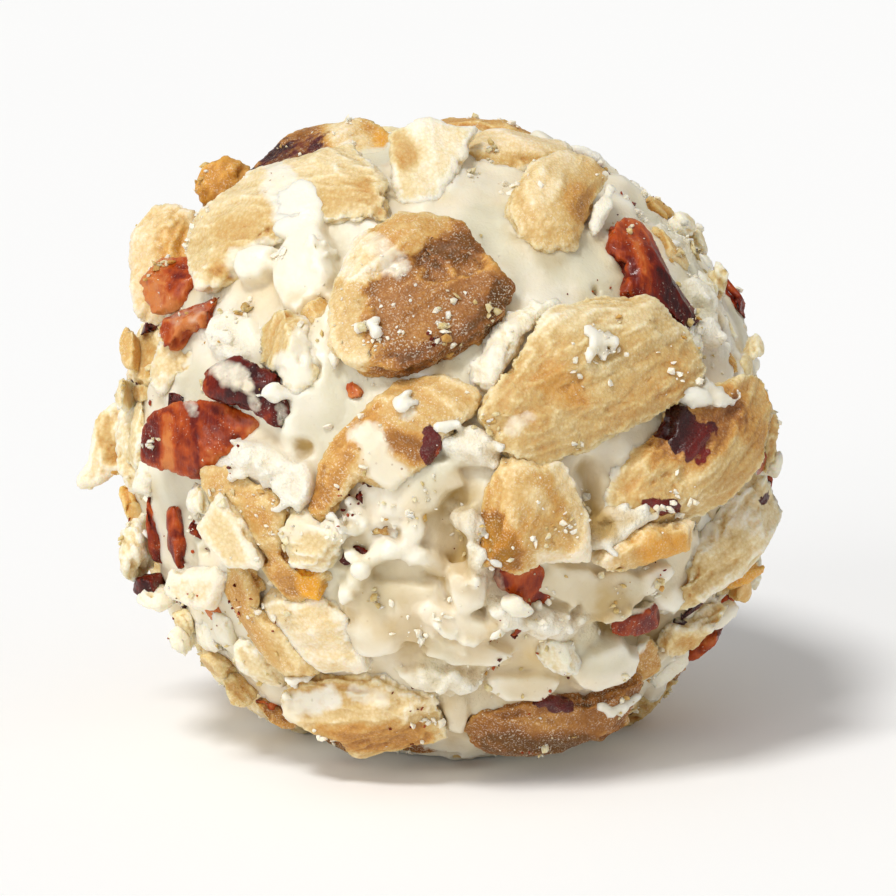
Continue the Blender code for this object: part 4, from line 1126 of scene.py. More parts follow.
def roomiest(directions, nuts, middles):
    """The direction that lies furthest from every nut and chip, and how much room there is."""
    rooms = []
    for direction in directions:
        middle = direction * (BALL_RADIUS + CHIP_ROOM)
        away = [np.linalg.norm(middle - other) - CHIP_ROOM for other in middles]
        rooms.append(min(away + [nuts.find_nearest(middle)[3]]))
    most = max(rooms)
    return directions[rooms.index(most)], most


def make_chips():
    """The chips of each kind, joined."""
    rng = random.Random(17)
    made = {kind: [] for kind in FAMILIES}
    for chip in FRONT_CHIPS:
        standing = front_frame(chip.place, chip.turn, chip.stand, chip.facing)
        made[chip.kind].append(chip_shape(chip, *standing, rng))
    nuts = placed_nuts().tree()
    middles = []
    while len(middles) < SCATTER_COUNT:
        directions = [random_direction(rng) for _ in range(SCATTER_TRIES)]
        direction, room = roomiest(directions, nuts, middles)
        chip = random_chip(rng)
        middle, normal, along = leaning_frame(direction, chip.stand, rng)
        hidden = direction @ FORWARD < 0.04 + 0.30 * max(direction[0], 0) ** 2 and direction[2] > -0.86
        if hidden and room > chip.size[0] * 0.2:
            made[chip.kind].append(chip_shape(chip, middle, normal, along, rng))
            middles.append(middle)
    for kind, shapes in made.items():
        name, finish, maker, slot = FAMILIES[kind]
        joined(shapes).placed(name, material_of(finish, maker), (), slot)


# ---------------------------------------------------------------- the coat

# A swell raises the coat, or sinks it, along a line: by how much, how wide, and how its side falls
# off (1 is round, more is softer, less is steeper).
Swell = namedtuple("Swell", "height width fall corners")
FRONT_SWELLS = (
    Swell(0.7, 1.3, 1.5, ((-7.2, 8.3), (-6.6, 6.8), (-6.4, 4.2))),
    Swell(0.6, 1.6, 2.0, ((-6.6, 3.4), (-7.4, 0.6))),
    Swell(-0.7, 1.3, 1.5, ((0.4, -2.8), (0.2, -4.6), (0.0, -6.0))),
    Swell(-0.6, 1.0, 1.5, ((7.2, -1.5), (7.3, -3.6))),
    Swell(-0.8, 0.5, 1.0, ((-7.6, 0.1), (-7.2, 0.1))),
    Swell(0.6, 1.4, 1.5, ((9.0, 12.9), (9.4, 13.0))),
    Swell(-1.1, 1.5, 1.2, ((8.8, -8.8), (10.6, -9.2))),
    Swell(0.4, 2.4, 1.5, ((4.0, 9.5), (7.0, 9.0))),
    Swell(0.5, 2.0, 1.5, ((-12.4, -5.4), (-11.6, -6.4))),
)

# A fold is a plate of chocolate that lies on the coat: where, its length and width, how far its
# length turns up from level, how far it stands off the ball, how thick it is, how it faces.
Fold = namedtuple("Fold", "place size turn stand thick facing", defaults=(0.1,))
FRONT_FOLDS = (
    Fold((-7.7, 11.9), (4.4, 2.8), 100, 1.75, 1.6, 0.3),
    Fold((-7.4, 9.4), (4.4, 3.0), 96, 1.35, 1.6, 0.2),
    Fold((-9.9, 9.5), (2.2, 1.8), 10, 1.7, 1.8, 0.3),
    Fold((-10.9, 5.6), (3.6, 2.6), -20, 1.0, 1.2, 0.2),
    Fold((-1.6, -2.1), (4.8, 2.4), 22, 0.95, 1.2),
    Fold((-1.8, -4.1), (1.2, 2.0), 0, 1.0, 1.0),
    Fold((1.1, -0.1), (2.8, 1.8), -10, 1.1, 1.4),
    Fold((1.4, -5.2), (3.8, 0.9), 95, 1.1, 1.0),
    Fold((0.9, -3.8), (1.4, 1.0), 10, 1.3, 1.0),
    Fold((-2.6, -8.4), (6.0, 3.4), -12, 1.0, 1.2),
    Fold((0.9, -7.4), (1.9, 2.2), 0, 1.45, 1.2),
    Fold((-3.8, -9.6), (3.4, 2.8), -20, 1.2, 1.2),
    Fold((0.4, -9.0), (4.0, 1.4), -22, 1.45, 1.0, 0.2),
    Fold((0.8, -10.5), (4.6, 1.3), -8, 1.15, 1.0, 0.2),
    Fold((-0.6, -11.8), (3.6, 1.5), -6, 1.1, 1.0),
    Fold((0.3, -13.4), (1.3, 3.0), 5, 1.0, 1.0, 0.3),
    Fold((3.8, -12.2), (3.4, 1.8), -8, 1.1, 1.0, 0.2),
    Fold((2.8, -8.6), (1.8, 1.6), 30, 1.4, 1.0),
    Fold((4.9, -8.9), (3.0, 1.2), -6, 1.2, 1.0),
    Fold((6.0, -6.9), (3.2, 2.0), -12, 1.0, 1.0),
    Fold((8.4, -7.5), (3.6, 2.4), -6, 1.1, 1.2),
    Fold((8.5, -4.2), (2.6, 0.8), 36, 1.2, 1.0),
    Fold((10.5, -6.6), (2.4, 1.1), 16, 1.3, 1.0, 0.2),
    Fold((11.3, -7.7), (1.3, 1.7), 20, 0.9, 1.0, 0.2),
    Fold((7.9, -11.2), (3.4, 2.6), -20, 1.4, 1.2, 0.2),
    Fold((-9.6, -0.9), (4.2, 1.9), -18, 1.5, 1.3, 0.1),
    Fold((-7.6, -2.0), (1.6, 2.4), -10, 1.3, 1.2),
    Fold((12.4, 2.6), (1.9, 0.9), -8, 2.3, 0.8, 0.3),
    Fold((12.8, 7.7), (1.9, 1.3), -30, 1.2, 1.0, 0.3),
    Fold((13.1, 5.8), (1.7, 1.2), 0, 1.2, 1.0, 0.3),
    Fold((13.9, -8.6), (2.0, 0.7), 38, 0.6, 0.8, 0.6),
    Fold((-4.8, -5.7), (1.3, 0.6), -35, 1.5, 0.5),
)
FOLD_CORNERS = 13

# A lip is a raised torn edge of chocolate: how thick it is, how far it stands off the coat, its line.
Lip = namedtuple("Lip", "size stand corners")
FRONT_LIPS = (
    Lip(0.52, 0.30, ((-5.2, -7.4), (-4.6, -6.4), (-3.9, -5.6), (-3.1, -5.15), (-2.3, -5.2), (-1.7, -5.6),
                     (-1.0, -5.95), (-0.5, -6.4))),
    Lip(0.26, 0.10, ((-0.6, -8.6), (0.4, -9.3), (1.6, -9.6), (2.6, -9.3))),
    Lip(0.26, 0.12, ((-1.6, -11.0), (0.8, -11.2), (3.0, -11.1))),
    Lip(0.32, 0.20, ((0.7, -3.4), (1.1, -4.2), (1.3, -5.4), (1.2, -6.6))),
    Lip(0.30, 0.12, ((6.6, -8.7), (7.6, -8.6), (9.2, -8.0), (10.0, -7.2))),
    Lip(0.30, 0.15, ((7.2, -4.9), (8.2, -4.4), (9.4, -3.4))),
    Lip(0.28, 0.12, ((-0.6, 1.0), (0.4, 1.1), (1.6, 0.6), (2.4, -0.2))),
    Lip(0.28, 0.12, ((6.4, -12.3), (7.8, -12.6), (9.0, -12.0))),
    Lip(0.26, 0.10, ((-1.0, -9.2), (-0.2, -9.8), (0.8, -10.0))),
)
HIDDEN_LIPS = 60
LIP_STEP = 0.16
LIP_REACH = 1.3

# A clump of crumbly chocolate: where, how far it spreads, how many lumps it has.
FRONT_CLUMPS = (
    ((-4.9, -3.6), 0.30, 34),
    ((-8.3, 2.7), 0.26, 16),
    ((-2.2, 2.1), 0.22, 18),
    ((6.9, 4.6), 0.36, 22),
    ((-9.5, -1.0), 0.60, 14),
    ((-7.3, -11.3), 0.26, 14),
    ((5.3, -8.9), 0.60, 22),
    ((12.4, 2.6), 0.45, 24),
    ((-6.4, 9.6), 0.35, 16),
    ((-3.6, 5.6), 0.25, 12),
)

# Where the front of the coat is crumbly: how far the crumbs spread, and the line they follow.
FRONT_CRUMBLY = (
    (0.7, ((3.5, -8.8), (6.7, -9.0))),
    (0.9, ((-1.0, -11.5), (1.2, -12.0))),
    (0.7, ((7.6, -4.4), (9.4, -3.3))),
    (0.8, ((0.4, 0.2), (2.2, -0.4))),
    (0.6, ((0.4, -3.4), (1.4, -3.9), (1.6, -6.2))),
    (0.9, ((-11.2, -0.2), (-8.0, -1.6), (-7.6, -3.4))),
    (0.7, ((-11.8, 5.8), (-10.8, 4.8))),
    (0.9, ((12.2, 7.6), (13.4, 5.2))),
    (0.7, ((10.8, 11.6), (12.2, 10.0))),
    (0.7, ((2.2, -8.0), (3.4, -8.9))),
)
# Painted light and shade on the front of the coat: shade in its hollows, greenish shade under folds and lips, a warm
# tint that is partly oil stain and partly painted shade, and highlights on its crests.
FRONT_TINTS = (
    Stroke("hollow", 0.55, 1.5, ((0.2, -2.4), (0.0, -4.5), (0.2, -6.2))),
    Stroke("hollow", 0.28, 1.2, ((-4.2, -7.6), (-3.0, -6.7), (-1.6, -6.9))),
    Stroke("hollow", 0.45, 0.9, ((0.3, -12.9), (0.3, -14.2))),
    Stroke("hollow", 0.25, 1.6, ((6.2, -7.9), (7.6, -7.7))),
    Stroke("hollow", 0.45, 1.2, ((-2.2, -9.0), (-2.0, -10.2))),
    Stroke("hollow", 0.50, 0.7, ((-5.3, -8.6), (-5.2, -9.9))),
    Stroke("hollow", 0.45, 1.2, ((7.2, -1.4), (7.6, -3.8))),
    Stroke("hollow", 0.50, 0.8, ((7.0, -3.6), (8.0, -4.2))),
    Stroke("hollow", 0.80, 0.8, ((12.6, -3.6), (13.4, -4.6))),
    Stroke("hollow", 0.60, 1.4, ((8.4, -8.2), (10.4, -9.6))),
    Stroke("hollow", 0.80, 0.3, ((-7.6, 0.1), (-7.2, 0.1))),
    Stroke("hollow", 0.40, 1.2, ((3.6, 11.2), (5.0, 10.0))),
    # A warm tint between and below the nuts: partly oil stain, partly painted shade.
    Stroke("oil", 0.55, 1.6, ((8.0, -2.6), (9.6, -1.6))),
    Stroke("oil", 0.20, 1.6, ((-8.8, 7.2), (-7.0, 6.6))),
    Stroke("oil", 0.35, 2.0, ((-3.6, -8.0), (-1.6, -8.6))),
    Stroke("oil", 0.35, 2.0, ((2.0, -11.0), (5.6, -11.8))),
    # These two broad strokes are painted warm shade over the lower coat, where light bounced off the nuts tints it.
    Stroke("oil", 0.24, 4.0, ((4.6, -7.4), (9.0, -6.2))),
    Stroke("oil", 0.20, 3.0, ((-3.0, -11.2), (4.0, -11.4))),
    # Painted greenish shade.
    Stroke("thin", 0.80, 2.2, ((6.4, 9.4), (8.4, 8.6))),
    Stroke("thin", 0.50, 2.0, ((2.4, 12.0), (4.4, 10.4))),
    Stroke("thin", 0.60, 1.6, ((-4.2, -7.0), (-2.2, -6.8))),
    Stroke("thin", 0.50, 2.4, ((-1.0, -12.0), (3.0, -12.4))),
    Stroke("thin", 0.60, 1.8, ((4.6, -7.0), (9.6, -6.6))),
    # Painted highlights on crests of the coat.
    Stroke("crest", 0.80, 1.6, ((-7.8, 12.2), (-7.4, 9.0))),
    Stroke("crest", 0.60, 1.6, ((-11.8, 6.2), (-10.6, 5.4))),
    Stroke("crest", 0.50, 1.4, ((-10.6, -0.6), (-8.4, -1.8))),
)
COAT_CUTS = 110
COAT_VOXEL = 0.15
COAT_TRIANGLES = 190000
COAT_RELIEF_ROUNDS = 90
HIDDEN_FOLDS = 150
RIM_BEADS = 1600
CRUMBLY_BEADS = 30
COAT_SEED = 3
SKY = 30.0


def swelling(away, swell):
    """How much a swell adds at this distance from its line."""
    inside = np.clip(1 - (away / swell.width) ** 2, 0, 1)
    return swell.height * inside ** swell.fall


def swollen_ball(nuts, thickness):
    """The body of the coat: a ball with soft swells and hollows that climbs a little up each nut."""
    ball = even_ball(COAT_CUTS)
    radius = BALL_RADIUS + thickness
    start = ball.points * radius
    height = NOISE.layered(start, 4.6, 2) * 0.30 + NOISE.single(start + 40, 1.7) * 0.14
    warped = start + 0.7 * np.stack([NOISE.single(start + shift, 1.9) for shift in (50, 60, 70)], axis=1)
    places, forward = seen_from_front(warped)
    front = forward > 0
    for swell in FRONT_SWELLS:
        height[front] += swelling(line_distance(places[front], swell.corners), swell)
    points = np.zeros_like(start)
    ragged = 0.55 + 0.45 * NOISE.layered(start + 90, 1.1, 2)
    tree = nuts.tree()
    for index, direction in enumerate(ball.points):
        reach = radius + height[index]
        near = tree.find_nearest(direction * reach, 1.2)[3]
        if near is not None:
            reach += 0.45 * ragged[index] * math.exp(-((near / 0.42) ** 2))
        top = tree.ray_cast(direction * SKY, -direction, SKY)[3]
        if top is not None:
            reach = min(reach, SKY - top - 0.35 + 0.3 * max(ragged[index], 0))
        points[index] = direction * reach
    return Shape(points, ball.faces)


def folds(rng):
    """The plates of chocolate that lie on the coat: those on the front, then others all round."""
    shapes = []
    for fold in FRONT_FOLDS:
        outline = ragged_outline(rng, fold.size, FOLD_CORNERS)
        frame_of_fold = front_frame(fold.place, fold.turn, fold.stand, fold.facing)
        shapes.append(slab_shape(*frame_of_fold, outline, fold.thick, FOLD_PROFILE))
    while len(shapes) < HIDDEN_FOLDS:
        direction = random_direction(rng)
        length = rng.uniform(1.2, 5.0)
        outline = ragged_outline(rng, (length, length * rng.uniform(0.35, 0.8)), FOLD_CORNERS)
        if direction @ FORWARD < 0.05:
            frame_of_fold = leaning_frame(direction, rng.uniform(0.5, 1.1), rng)
            shapes.append(slab_shape(*frame_of_fold, outline, 1.2, FOLD_PROFILE))
    return shapes


def between(corners, share):
    """The place this share of the way along a line through the corners."""
    along = share * (len(corners) - 1)
    step = min(int(along), len(corners) - 2)
    return np.array(corners[step]) * (step + 1 - along) + np.array(corners[step + 1]) * (along - step)


def line_length(corners):
    """How long a line through the corners is."""
    return sum(math.dist(start, end) for start, end in zip(corners, corners[1:]))


def surface_at(tree, direction, lift):
    """The point this far above the highest surface in a direction from the ball's middle."""
    away = SKY - (tree.ray_cast(direction * SKY, -direction, SKY)[3] or SKY - BALL_RADIUS)
    return direction * (away + lift)


def towards(place):
    """The direction from the ball's middle of a place on the front."""
    middle = on_sphere(*place, BALL_RADIUS + 1)
    return middle / np.linalg.norm(middle)


def lips(tree, rng):
    """The torn edges of the coat: rows of lumps that run together."""
    shapes = []
    for lip in FRONT_LIPS:
        steps = int(line_length(lip.corners) / LIP_STEP)
        for step in range(steps + 1):
            place = between(lip.corners, step / steps) + (rng.gauss(0, 0.04), rng.gauss(0, 0.04))
            for stand in (0.0, lip.stand):
                middle = surface_at(tree, towards(place), stand + rng.uniform(-0.1, 0.1))
                shapes.append(pebble(rng, middle, lip.size * rng.uniform(0.7, 1.25), 0))
    for _ in range(HIDDEN_LIPS):
        direction = random_direction(rng)
        along = np.cross(direction, random_direction(rng))
        bend = np.cross(direction, along) * rng.uniform(-0.25, 0.25)
        length = rng.uniform(1.5, 5.0)
        size = rng.uniform(0.24, 0.42)
        if direction @ FORWARD > 0:
            continue
        for step in range(int(length / LIP_STEP)):
            away = step * LIP_STEP - length / 2
            place = direction * BALL_RADIUS + along * away + bend * away * away
            middle = surface_at(tree, place / np.linalg.norm(place), 0.12)
            if np.linalg.norm(middle) < BALL_RADIUS + LIP_REACH:
                shapes.append(pebble(rng, middle, size * rng.uniform(0.8, 1.15), 0))
    return shapes


def beads(nuts, tree, rng):
    """Small lumps of chocolate pushed up round the foot of each nut, and heaps where it crumbles."""
    shapes = []
    reach = np.linalg.norm(nuts.points, axis=1)
    feet = nuts.points[(reach > 15.2) & (reach < 15.9)]
    for _ in range(RIM_BEADS):
        middle = feet[rng.randrange(len(feet))] * rng.uniform(0.985, 1.0)
        shapes.append(pebble(rng, middle, rng.uniform(0.14, 0.32), rng.uniform(0.2, 0.6)))
    for spread, corners in FRONT_CRUMBLY:
        for _ in range(CRUMBLY_BEADS):
            place = between(corners, rng.random()) + (rng.gauss(0, spread * 0.5), rng.gauss(0, spread * 0.5))
            middle = surface_at(tree, towards(place), rng.uniform(-0.1, 0.15))
            shapes.append(pebble(rng, middle, rng.uniform(0.2, 0.44), rng.uniform(0.3, 0.7), 0.4))
    for middle, spread, count in FRONT_CLUMPS:
        for index in range(count):
            place = (middle[0] + rng.gauss(0, spread), middle[1] + rng.gauss(0, spread))
            heaped = 0.4 * index / count
            lump = surface_at(tree, towards(place), rng.uniform(-0.1, 0.1) + heaped)
            shapes.append(pebble(rng, lump, rng.uniform(0.2, 0.42), rng.uniform(0.2, 0.65), 0.4))
    return shapes


def coat_shape(nuts, thickness):
    """The coat: its body, folds and beads run together."""
    rng = random.Random(COAT_SEED)
    body = joined([swollen_ball(nuts, thickness)] + folds(rng))
    tree = joined([body, nuts]).tree()
    coat = joined([body] + lips(tree, rng) + beads(nuts, tree, rng)).remeshed(COAT_VOXEL)
    coat.points = coat.evened(1)
    places, forward = seen_from_front(coat.points)
    front = forward > 0
    crumbly = smooth_step(0.15, 0.5, NOISE.single(coat.points + 80, 3.2)) * ~front
    for spread, corners in FRONT_CRUMBLY:
        away = line_distance(places, corners) / spread
        crumbly = np.maximum(crumbly, (1 - smooth_step(0.6, 1.4, away)) * front)
    push = NOISE.single(coat.points + 25, 1.2) * 0.05 + NOISE.layered(coat.points, 0.6, 2) * 0.02
    push += crumbly * (NOISE.ridged(coat.points, 0.9) * 0.08 + NOISE.layered(coat.points + 15, 0.6, 2) * 0.06)
    coat.points = coat.points + coat.normals() * push[:, None]
    relief = coat.relief(COAT_RELIEF_ROUNDS)
    tree = nuts.tree()
    # Next to the nuts the coat gets a warm darker tint: partly the nuts' oil stain, partly painted shade where coat
    # meets nut.
    oil = np.array([math.exp(-(tree.find_nearest(point, 4.0)[3] or 4.0) / 0.6) for point in coat.points])
    patches = NOISE.layered(coat.points + 55, 4.2, 2)
    # Besides crumbly, these masks paint light and shade: the warm tint near the nuts is partly oil stain and partly
    # painted shade, then painted shade in the hollows, a painted highlight on the crests, and painted greenish shade in
    # random patches.
    coat.masks = {
        "oil": oil * smooth_step(-0.2, 0.8, NOISE.layered(coat.points + 7, 2.4, 2)) * 0.7,
        "hollow": smooth_step(0.08, 0.60, -relief),
        "crest": smooth_step(0.06, 0.35, relief),
        "crumbly": crumbly,
        "thin": smooth_step(0.0, 0.5, patches),
    }
    for stroke in FRONT_TINTS:
        coat.masks[stroke.mask][front] += stroke.amount * laid(stroke, coat.points[front], places[front])
    coat.masks["crest"] *= 1 - np.clip(coat.masks["hollow"], 0, 1)
    share = COAT_TRIANGLES / (2 * len(coat.faces))
    return coat.thinned(min(share, 1.0))


# How the names of the pieces start.
MADE_OF_NUT = ("nut_", "chips_")
MADE = (*MADE_OF_NUT, "coat")


def made_shape(piece):
    """The shape of a piece that is already in place, in millimetres from the ball's middle."""
    shape = Shape.of_mesh(piece.data)
    shape.points = shape.points / MM - (0, 0, BALL_HEIGHT)
    return shape


def placed_nuts():
    """Every nut and chip that is already in place, as one shape."""
    return joined([made_shape(piece) for piece in bpy.data.objects if piece.name.startswith(MADE_OF_NUT)])


# ---------------------------------------------------------------- crumbs

# Crumbs on the front: of what, round which place, how far they spread, how many and how large.
Sprinkle = namedtuple("Sprinkle", "kind place spread count size")
FRONT_SPRINKLES = (
    Sprinkle("skin", (-2.2, -13.1), 0.7, 9, 0.12),
    Sprinkle("skin", (7.2, 8.1), 0.6, 6, 0.08),
    Sprinkle("skin", (8.8, 12.3), 0.2, 2, 0.12),
    Sprinkle("skin", (-5.0, -2.7), 0.5, 12, 0.12),
    Sprinkle("skin", (15.8, -3.2), 0.5, 4, 0.08),
    Sprinkle("skin", (0.4, -5.4), 0.8, 3, 0.05),
    Sprinkle("skin", (-14.8, -6.8), 1.6, 14, 0.13),
    Sprinkle("skin", (-11.4, -7.6), 1.2, 14, 0.12),
    Sprinkle("skin", (3.0, -8.8), 1.0, 5, 0.07),
    Sprinkle("nut", (-2.0, -3.4), 0.6, 12, 0.16),
    Sprinkle("nut", (-12.8, 5.2), 1.6, 30, 0.20),
    Sprinkle("nut", (-11.4, -9.6), 1.8, 40, 0.20),
    Sprinkle("nut", (12.4, 5.6), 1.4, 24, 0.18),
    Sprinkle("nut", (4.6, -9.2), 1.4, 24, 0.16),
    Sprinkle("chocolate", (-2.4, 6.6), 1.8, 40, 0.12),
    Sprinkle("chocolate", (-3.2, 5.4), 0.7, 16, 0.16),
    Sprinkle("chocolate", (-1.6, 1.4), 2.0, 24, 0.12),
    Sprinkle("chocolate", (6.9, 4.6), 0.7, 14, 0.18),
    Sprinkle("chocolate", (-6.6, 15.7), 0.8, 10, 0.14),
    Sprinkle("chocolate", (4.6, -3.4), 1.6, 20, 0.10),
    Sprinkle("chocolate", (-4.9, -3.6), 0.7, 18, 0.18),
    Sprinkle("chocolate", (-8.4, -3.2), 1.4, 26, 0.14),
    Sprinkle("chocolate", (-4.6, -13.2), 1.8, 24, 0.14),
    Sprinkle("chocolate", (-12.0, 7.4), 1.4, 20, 0.14),
    Sprinkle("chocolate", (0.6, -12.6), 1.6, 20, 0.12),
)
CRUMB_FAMILIES = {
    "nut": ("crumbs_nut", "broken_nut", nut_material, "nut_flake"),
    "chocolate": ("crumbs_chocolate", "chocolate_crumb", lambda: chocolate_material("chocolate_crumb", 0.1), "coating"),
    "skin": ("crumbs_skin", "nut_skin_finish", skin_material, "nut_skin"),
}


CLUSTER_KINDS = ("nut", "nut", "nut", "nut", "chocolate", "chocolate", "chocolate", "skin")
SKIN_CRUMB = 0.55


def crumb(rng, kind, middle, size):
    """One crumb, with its masks."""
    grain = pebble(rng, middle, size, rng.uniform(0.2, 0.7), 0.45)
    values = {"fibre": 0.4, "toast": 0.5, "glow": 0.0, "stain": 0.0, "film": 0.0, "dust": 0.0, "oil": 0.0, "thin": 0.0}
    values.update({"crest": 0.0, "hollow": 0.0, "crumbly": 0.5})
    if kind == "nut":
        values["toast"] = rng.choice((0.0, 0.05, 0.1, 0.15, 0.2, 0.25, 0.3, 0.45))
    elif kind == "skin":
        values["toast"] = rng.uniform(0.3, 0.9)
    else:
        # Each chocolate crumb gets a painted highlight of random strength.
        values["crest"] = rng.uniform(0.3, 1.0)
    grain.masks = {mask: np.full(len(grain.points), value) for mask, value in values.items()}
    return grain


def make_crumbs():
    """The crumbs of each kind, joined, in clusters all over the truffle."""
    settings = bpy.context.scene.truffle_crumbs
    rng = random.Random(29)
    whole = joined([made_shape(piece) for piece in bpy.data.objects if piece.name.startswith(MADE)])
    tree = whole.tree()
    made = {kind: [] for kind in CRUMB_FAMILIES}

    def drop(kind, direction, size):
        direction = direction / np.linalg.norm(direction)
        made[kind].append(crumb(rng, kind, surface_at(tree, direction, size * 0.3), size))

    for sprinkle in FRONT_SPRINKLES:
        for _ in range(sprinkle.count):
            place = (rng.gauss(sprinkle.place[0], sprinkle.spread), rng.gauss(sprinkle.place[1], sprinkle.spread))
            drop(sprinkle.kind, towards(place), sprinkle.size * rng.uniform(0.25, 1.05))
    for _ in range(settings.clusters):
        direction = random_direction(rng)
        kind = rng.choice(CLUSTER_KINDS)
        spread = rng.uniform(0.02, 0.12)
        for _ in range(rng.randint(2, settings.most)):
            size = settings.largest / MM / 2 * rng.uniform(0.2, 1.0) ** 2.5 + 0.025
            size *= SKIN_CRUMB if kind == "skin" else 1
            drop(kind, direction + random_direction(rng) * rng.uniform(0, spread), size)
    for kind, grains in made.items():
        name, finish, maker, slot = CRUMB_FAMILIES[kind]
        joined(grains).placed(name, material_of(finish, maker), (), slot, smooth=False)


# ---------------------------------------------------------------- the stage

# Where each light comes from, and where the middle of the picture lies from the ball's middle.
KEY_FROM = (-0.36, -0.54, 1.0)
FILL_FROM = (-0.75, -1.0, 0.45)
FRAME_AIM = (-0.1, -0.05)


def add_light(name, strength, direction, spread):
    """A distant soft light; spread is how wide it looks, in degrees."""
    light = bpy.data.lights.new(name, "SUN")
    light.energy = strength
    light.angle = math.radians(spread)
    light.color = (1.0, 0.995, 0.98)
    lamp = bpy.data.objects.new(name, light)
    lamp.rotation_euler = Vector(direction).to_track_quat("Z", "Y").to_euler()
    bpy.context.scene.collection.objects.link(lamp)


def make_stage():
    """The floor, the light and the camera."""
    settings = bpy.context.scene.truffle_stage
    side = 6.0
    corners = [(-side, -side, 0), (side, -side, 0), (side, side, 0), (-side, side, 0)]
    mesh = bpy.data.meshes.new("floor")
    mesh.from_pydata(corners, [], [(0, 1, 2, 3)])
    mesh.materials.append(floor_material())
    floor = bpy.data.objects.new("floor", mesh)
    bpy.context.scene.collection.objects.link(floor)

    add_light("key", settings.key_strength, KEY_FROM, 14)
    add_light("fill", settings.fill_strength, FILL_FROM, 40)

    world = bpy.data.worlds.new("studio")
    world.use_nodes = True
    sky = world.node_tree.nodes["Background"]
    sky.inputs["Color"].default_value = (1, 1, 1, 1)
    sky.inputs["Strength"].default_value = settings.sky_strength
    bpy.context.scene.world = world
    bpy.context.scene.view_settings.view_transform = "Standard"

    camera = bpy.data.cameras.new("camera")
    camera.lens = settings.lens
    camera.sensor_width = 36
    camera.clip_start = 0.01
    view = bpy.data.objects.new("camera", camera)
    middle = Vector((0, 0, BALL_HEIGHT * MM))
    aim = lay_on_view(FRAME_AIM)
    view.location = middle + Vector(FORWARD) * SIGHT * MM
    view.rotation_euler = (view.location - middle - aim).to_track_quat("Z", "Y").to_euler()
    bpy.context.scene.collection.objects.link(view)
    bpy.context.scene.camera = view


def lay_on_view(place):
    """The vector to a place on the front that lies level with the ball's middle, in metres."""
    return Vector(ACROSS * place[0] + UPWARD * place[1]) * MM


# ---------------------------------------------------------------- operators

class NutsOperator:
    """What the operators that make nuts share."""

    bl_options = {"REGISTER", "UNDO"}
    kinds = ()

    def execute(self, context):
        make_nuts(self.kinds)
        return {"FINISHED"}


class TRUFFLE_OT_toasted_nuts(NutsOperator, bpy.types.Operator):
    """Shape and finish the roasted brown nuts"""

    bl_idname = "truffle.toasted_nuts"
    bl_label = "Toasted Nuts"
    kinds = ("toasted",)


class TRUFFLE_OT_pale_nuts(NutsOperator, bpy.types.Operator):
    """Shape and finish the pale nuts"""

    bl_idname = "truffle.pale_nuts"
    bl_label = "Pale Nuts"
    kinds = ("pale",)


class TRUFFLE_OT_golden_nuts(NutsOperator, bpy.types.Operator):
    """Shape and finish the golden nuts"""

    bl_idname = "truffle.golden_nuts"
    bl_label = "Golden Nuts"
    kinds = ("golden",)


class TRUFFLE_OT_flakes(NutsOperator, bpy.types.Operator):
    """Shape and finish the thin flakes of nut"""

    bl_idname = "truffle.flakes"
    bl_label = "Nut Flakes"
    kinds = ("flake",)


class TRUFFLE_OT_skins(NutsOperator, bpy.types.Operator):
    """Shape and finish the bits of nut skin"""

    bl_idname = "truffle.skins"
    bl_label = "Nut Skins"
    kinds = ("skin",)


class TRUFFLE_OT_chips(bpy.types.Operator):
    """Scatter the chips that are too small to be solids"""

    bl_idname = "truffle.chips"
    bl_label = "Chips"
    bl_options = {"REGISTER", "UNDO"}

    def execute(self, context):
        make_chips()
        return {"FINISHED"}


class TRUFFLE_OT_coat(bpy.types.Operator):
    """Lay the white chocolate over the ball and against the nuts"""

    bl_idname = "truffle.coat"
    bl_label = "Chocolate Coat"
    bl_options = {"REGISTER", "UNDO"}

    def execute(self, context):
        thickness = context.scene.truffle_coat.thickness / MM
        coat = coat_shape(placed_nuts(), thickness)
        coat.placed("coat", material_of("white_chocolate", chocolate_material), ("ball",), "coating")
        return {"FINISHED"}


class TRUFFLE_OT_crumbs(bpy.types.Operator):
    """Scatter the crumbs of nut, skin and chocolate"""

    bl_idname = "truffle.crumbs"
    bl_label = "Crumbs"
    bl_options = {"REGISTER", "UNDO"}

    def execute(self, context):
        make_crumbs()
        return {"FINISHED"}


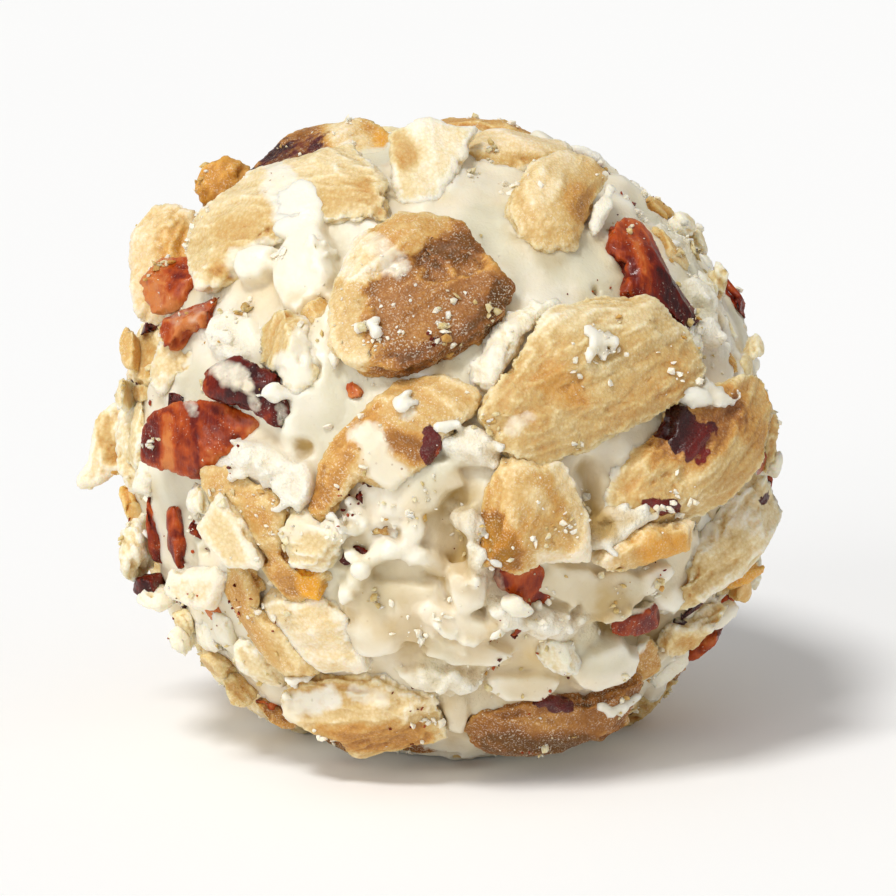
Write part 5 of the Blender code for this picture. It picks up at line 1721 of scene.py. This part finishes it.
class TRUFFLE_OT_stage(bpy.types.Operator):
    """Set up the floor, the light and the camera"""

    bl_idname = "truffle.stage"
    bl_label = "Stage"
    bl_options = {"REGISTER", "UNDO"}

    def execute(self, context):
        make_stage()
        return {"FINISHED"}


OPERATORS = (
    TRUFFLE_OT_toasted_nuts,
    TRUFFLE_OT_pale_nuts,
    TRUFFLE_OT_golden_nuts,
    TRUFFLE_OT_flakes,
    TRUFFLE_OT_skins,
    TRUFFLE_OT_chips,
    TRUFFLE_OT_coat,
    TRUFFLE_OT_crumbs,
    TRUFFLE_OT_stage,
)


class TRUFFLE_PT_panel(bpy.types.Panel):
    """The truffle's settings and steps"""

    bl_label = "Nut Truffle"
    bl_idname = "TRUFFLE_PT_panel"
    bl_space_type = "VIEW_3D"
    bl_region_type = "UI"
    bl_category = "Truffle"

    def draw(self, context):
        for title, settings in (
            ("Coat", context.scene.truffle_coat),
            ("Nuts", context.scene.truffle_nuts),
            ("Crumbs", context.scene.truffle_crumbs),
            ("Stage", context.scene.truffle_stage),
        ):
            box = self.layout.box()
            box.label(text=title)
            for name in settings.__annotations__:
                box.prop(settings, name)
        for step in OPERATORS:
            self.layout.operator(step.bl_idname)


SETTINGS = {
    "truffle_coat": CoatSettings,
    "truffle_nuts": NutSettings,
    "truffle_crumbs": CrumbSettings,
    "truffle_stage": StageSettings,
}


def register():
    for name, group in SETTINGS.items():
        bpy.utils.register_class(group)
        setattr(bpy.types.Scene, name, PointerProperty(type=group))
    for kind in (*OPERATORS, TRUFFLE_PT_panel):
        bpy.utils.register_class(kind)


def unregister():
    for kind in (TRUFFLE_PT_panel, *reversed(OPERATORS)):
        bpy.utils.unregister_class(kind)
    for name, group in reversed(SETTINGS.items()):
        delattr(bpy.types.Scene, name)
        bpy.utils.unregister_class(group)


def main():
    """Makes the whole truffle, one step after another."""
    register()
    for step in OPERATORS:
        family, name = step.bl_idname.split(".")
        getattr(getattr(bpy.ops, family), name)()


if __name__ == "__main__":
    main()
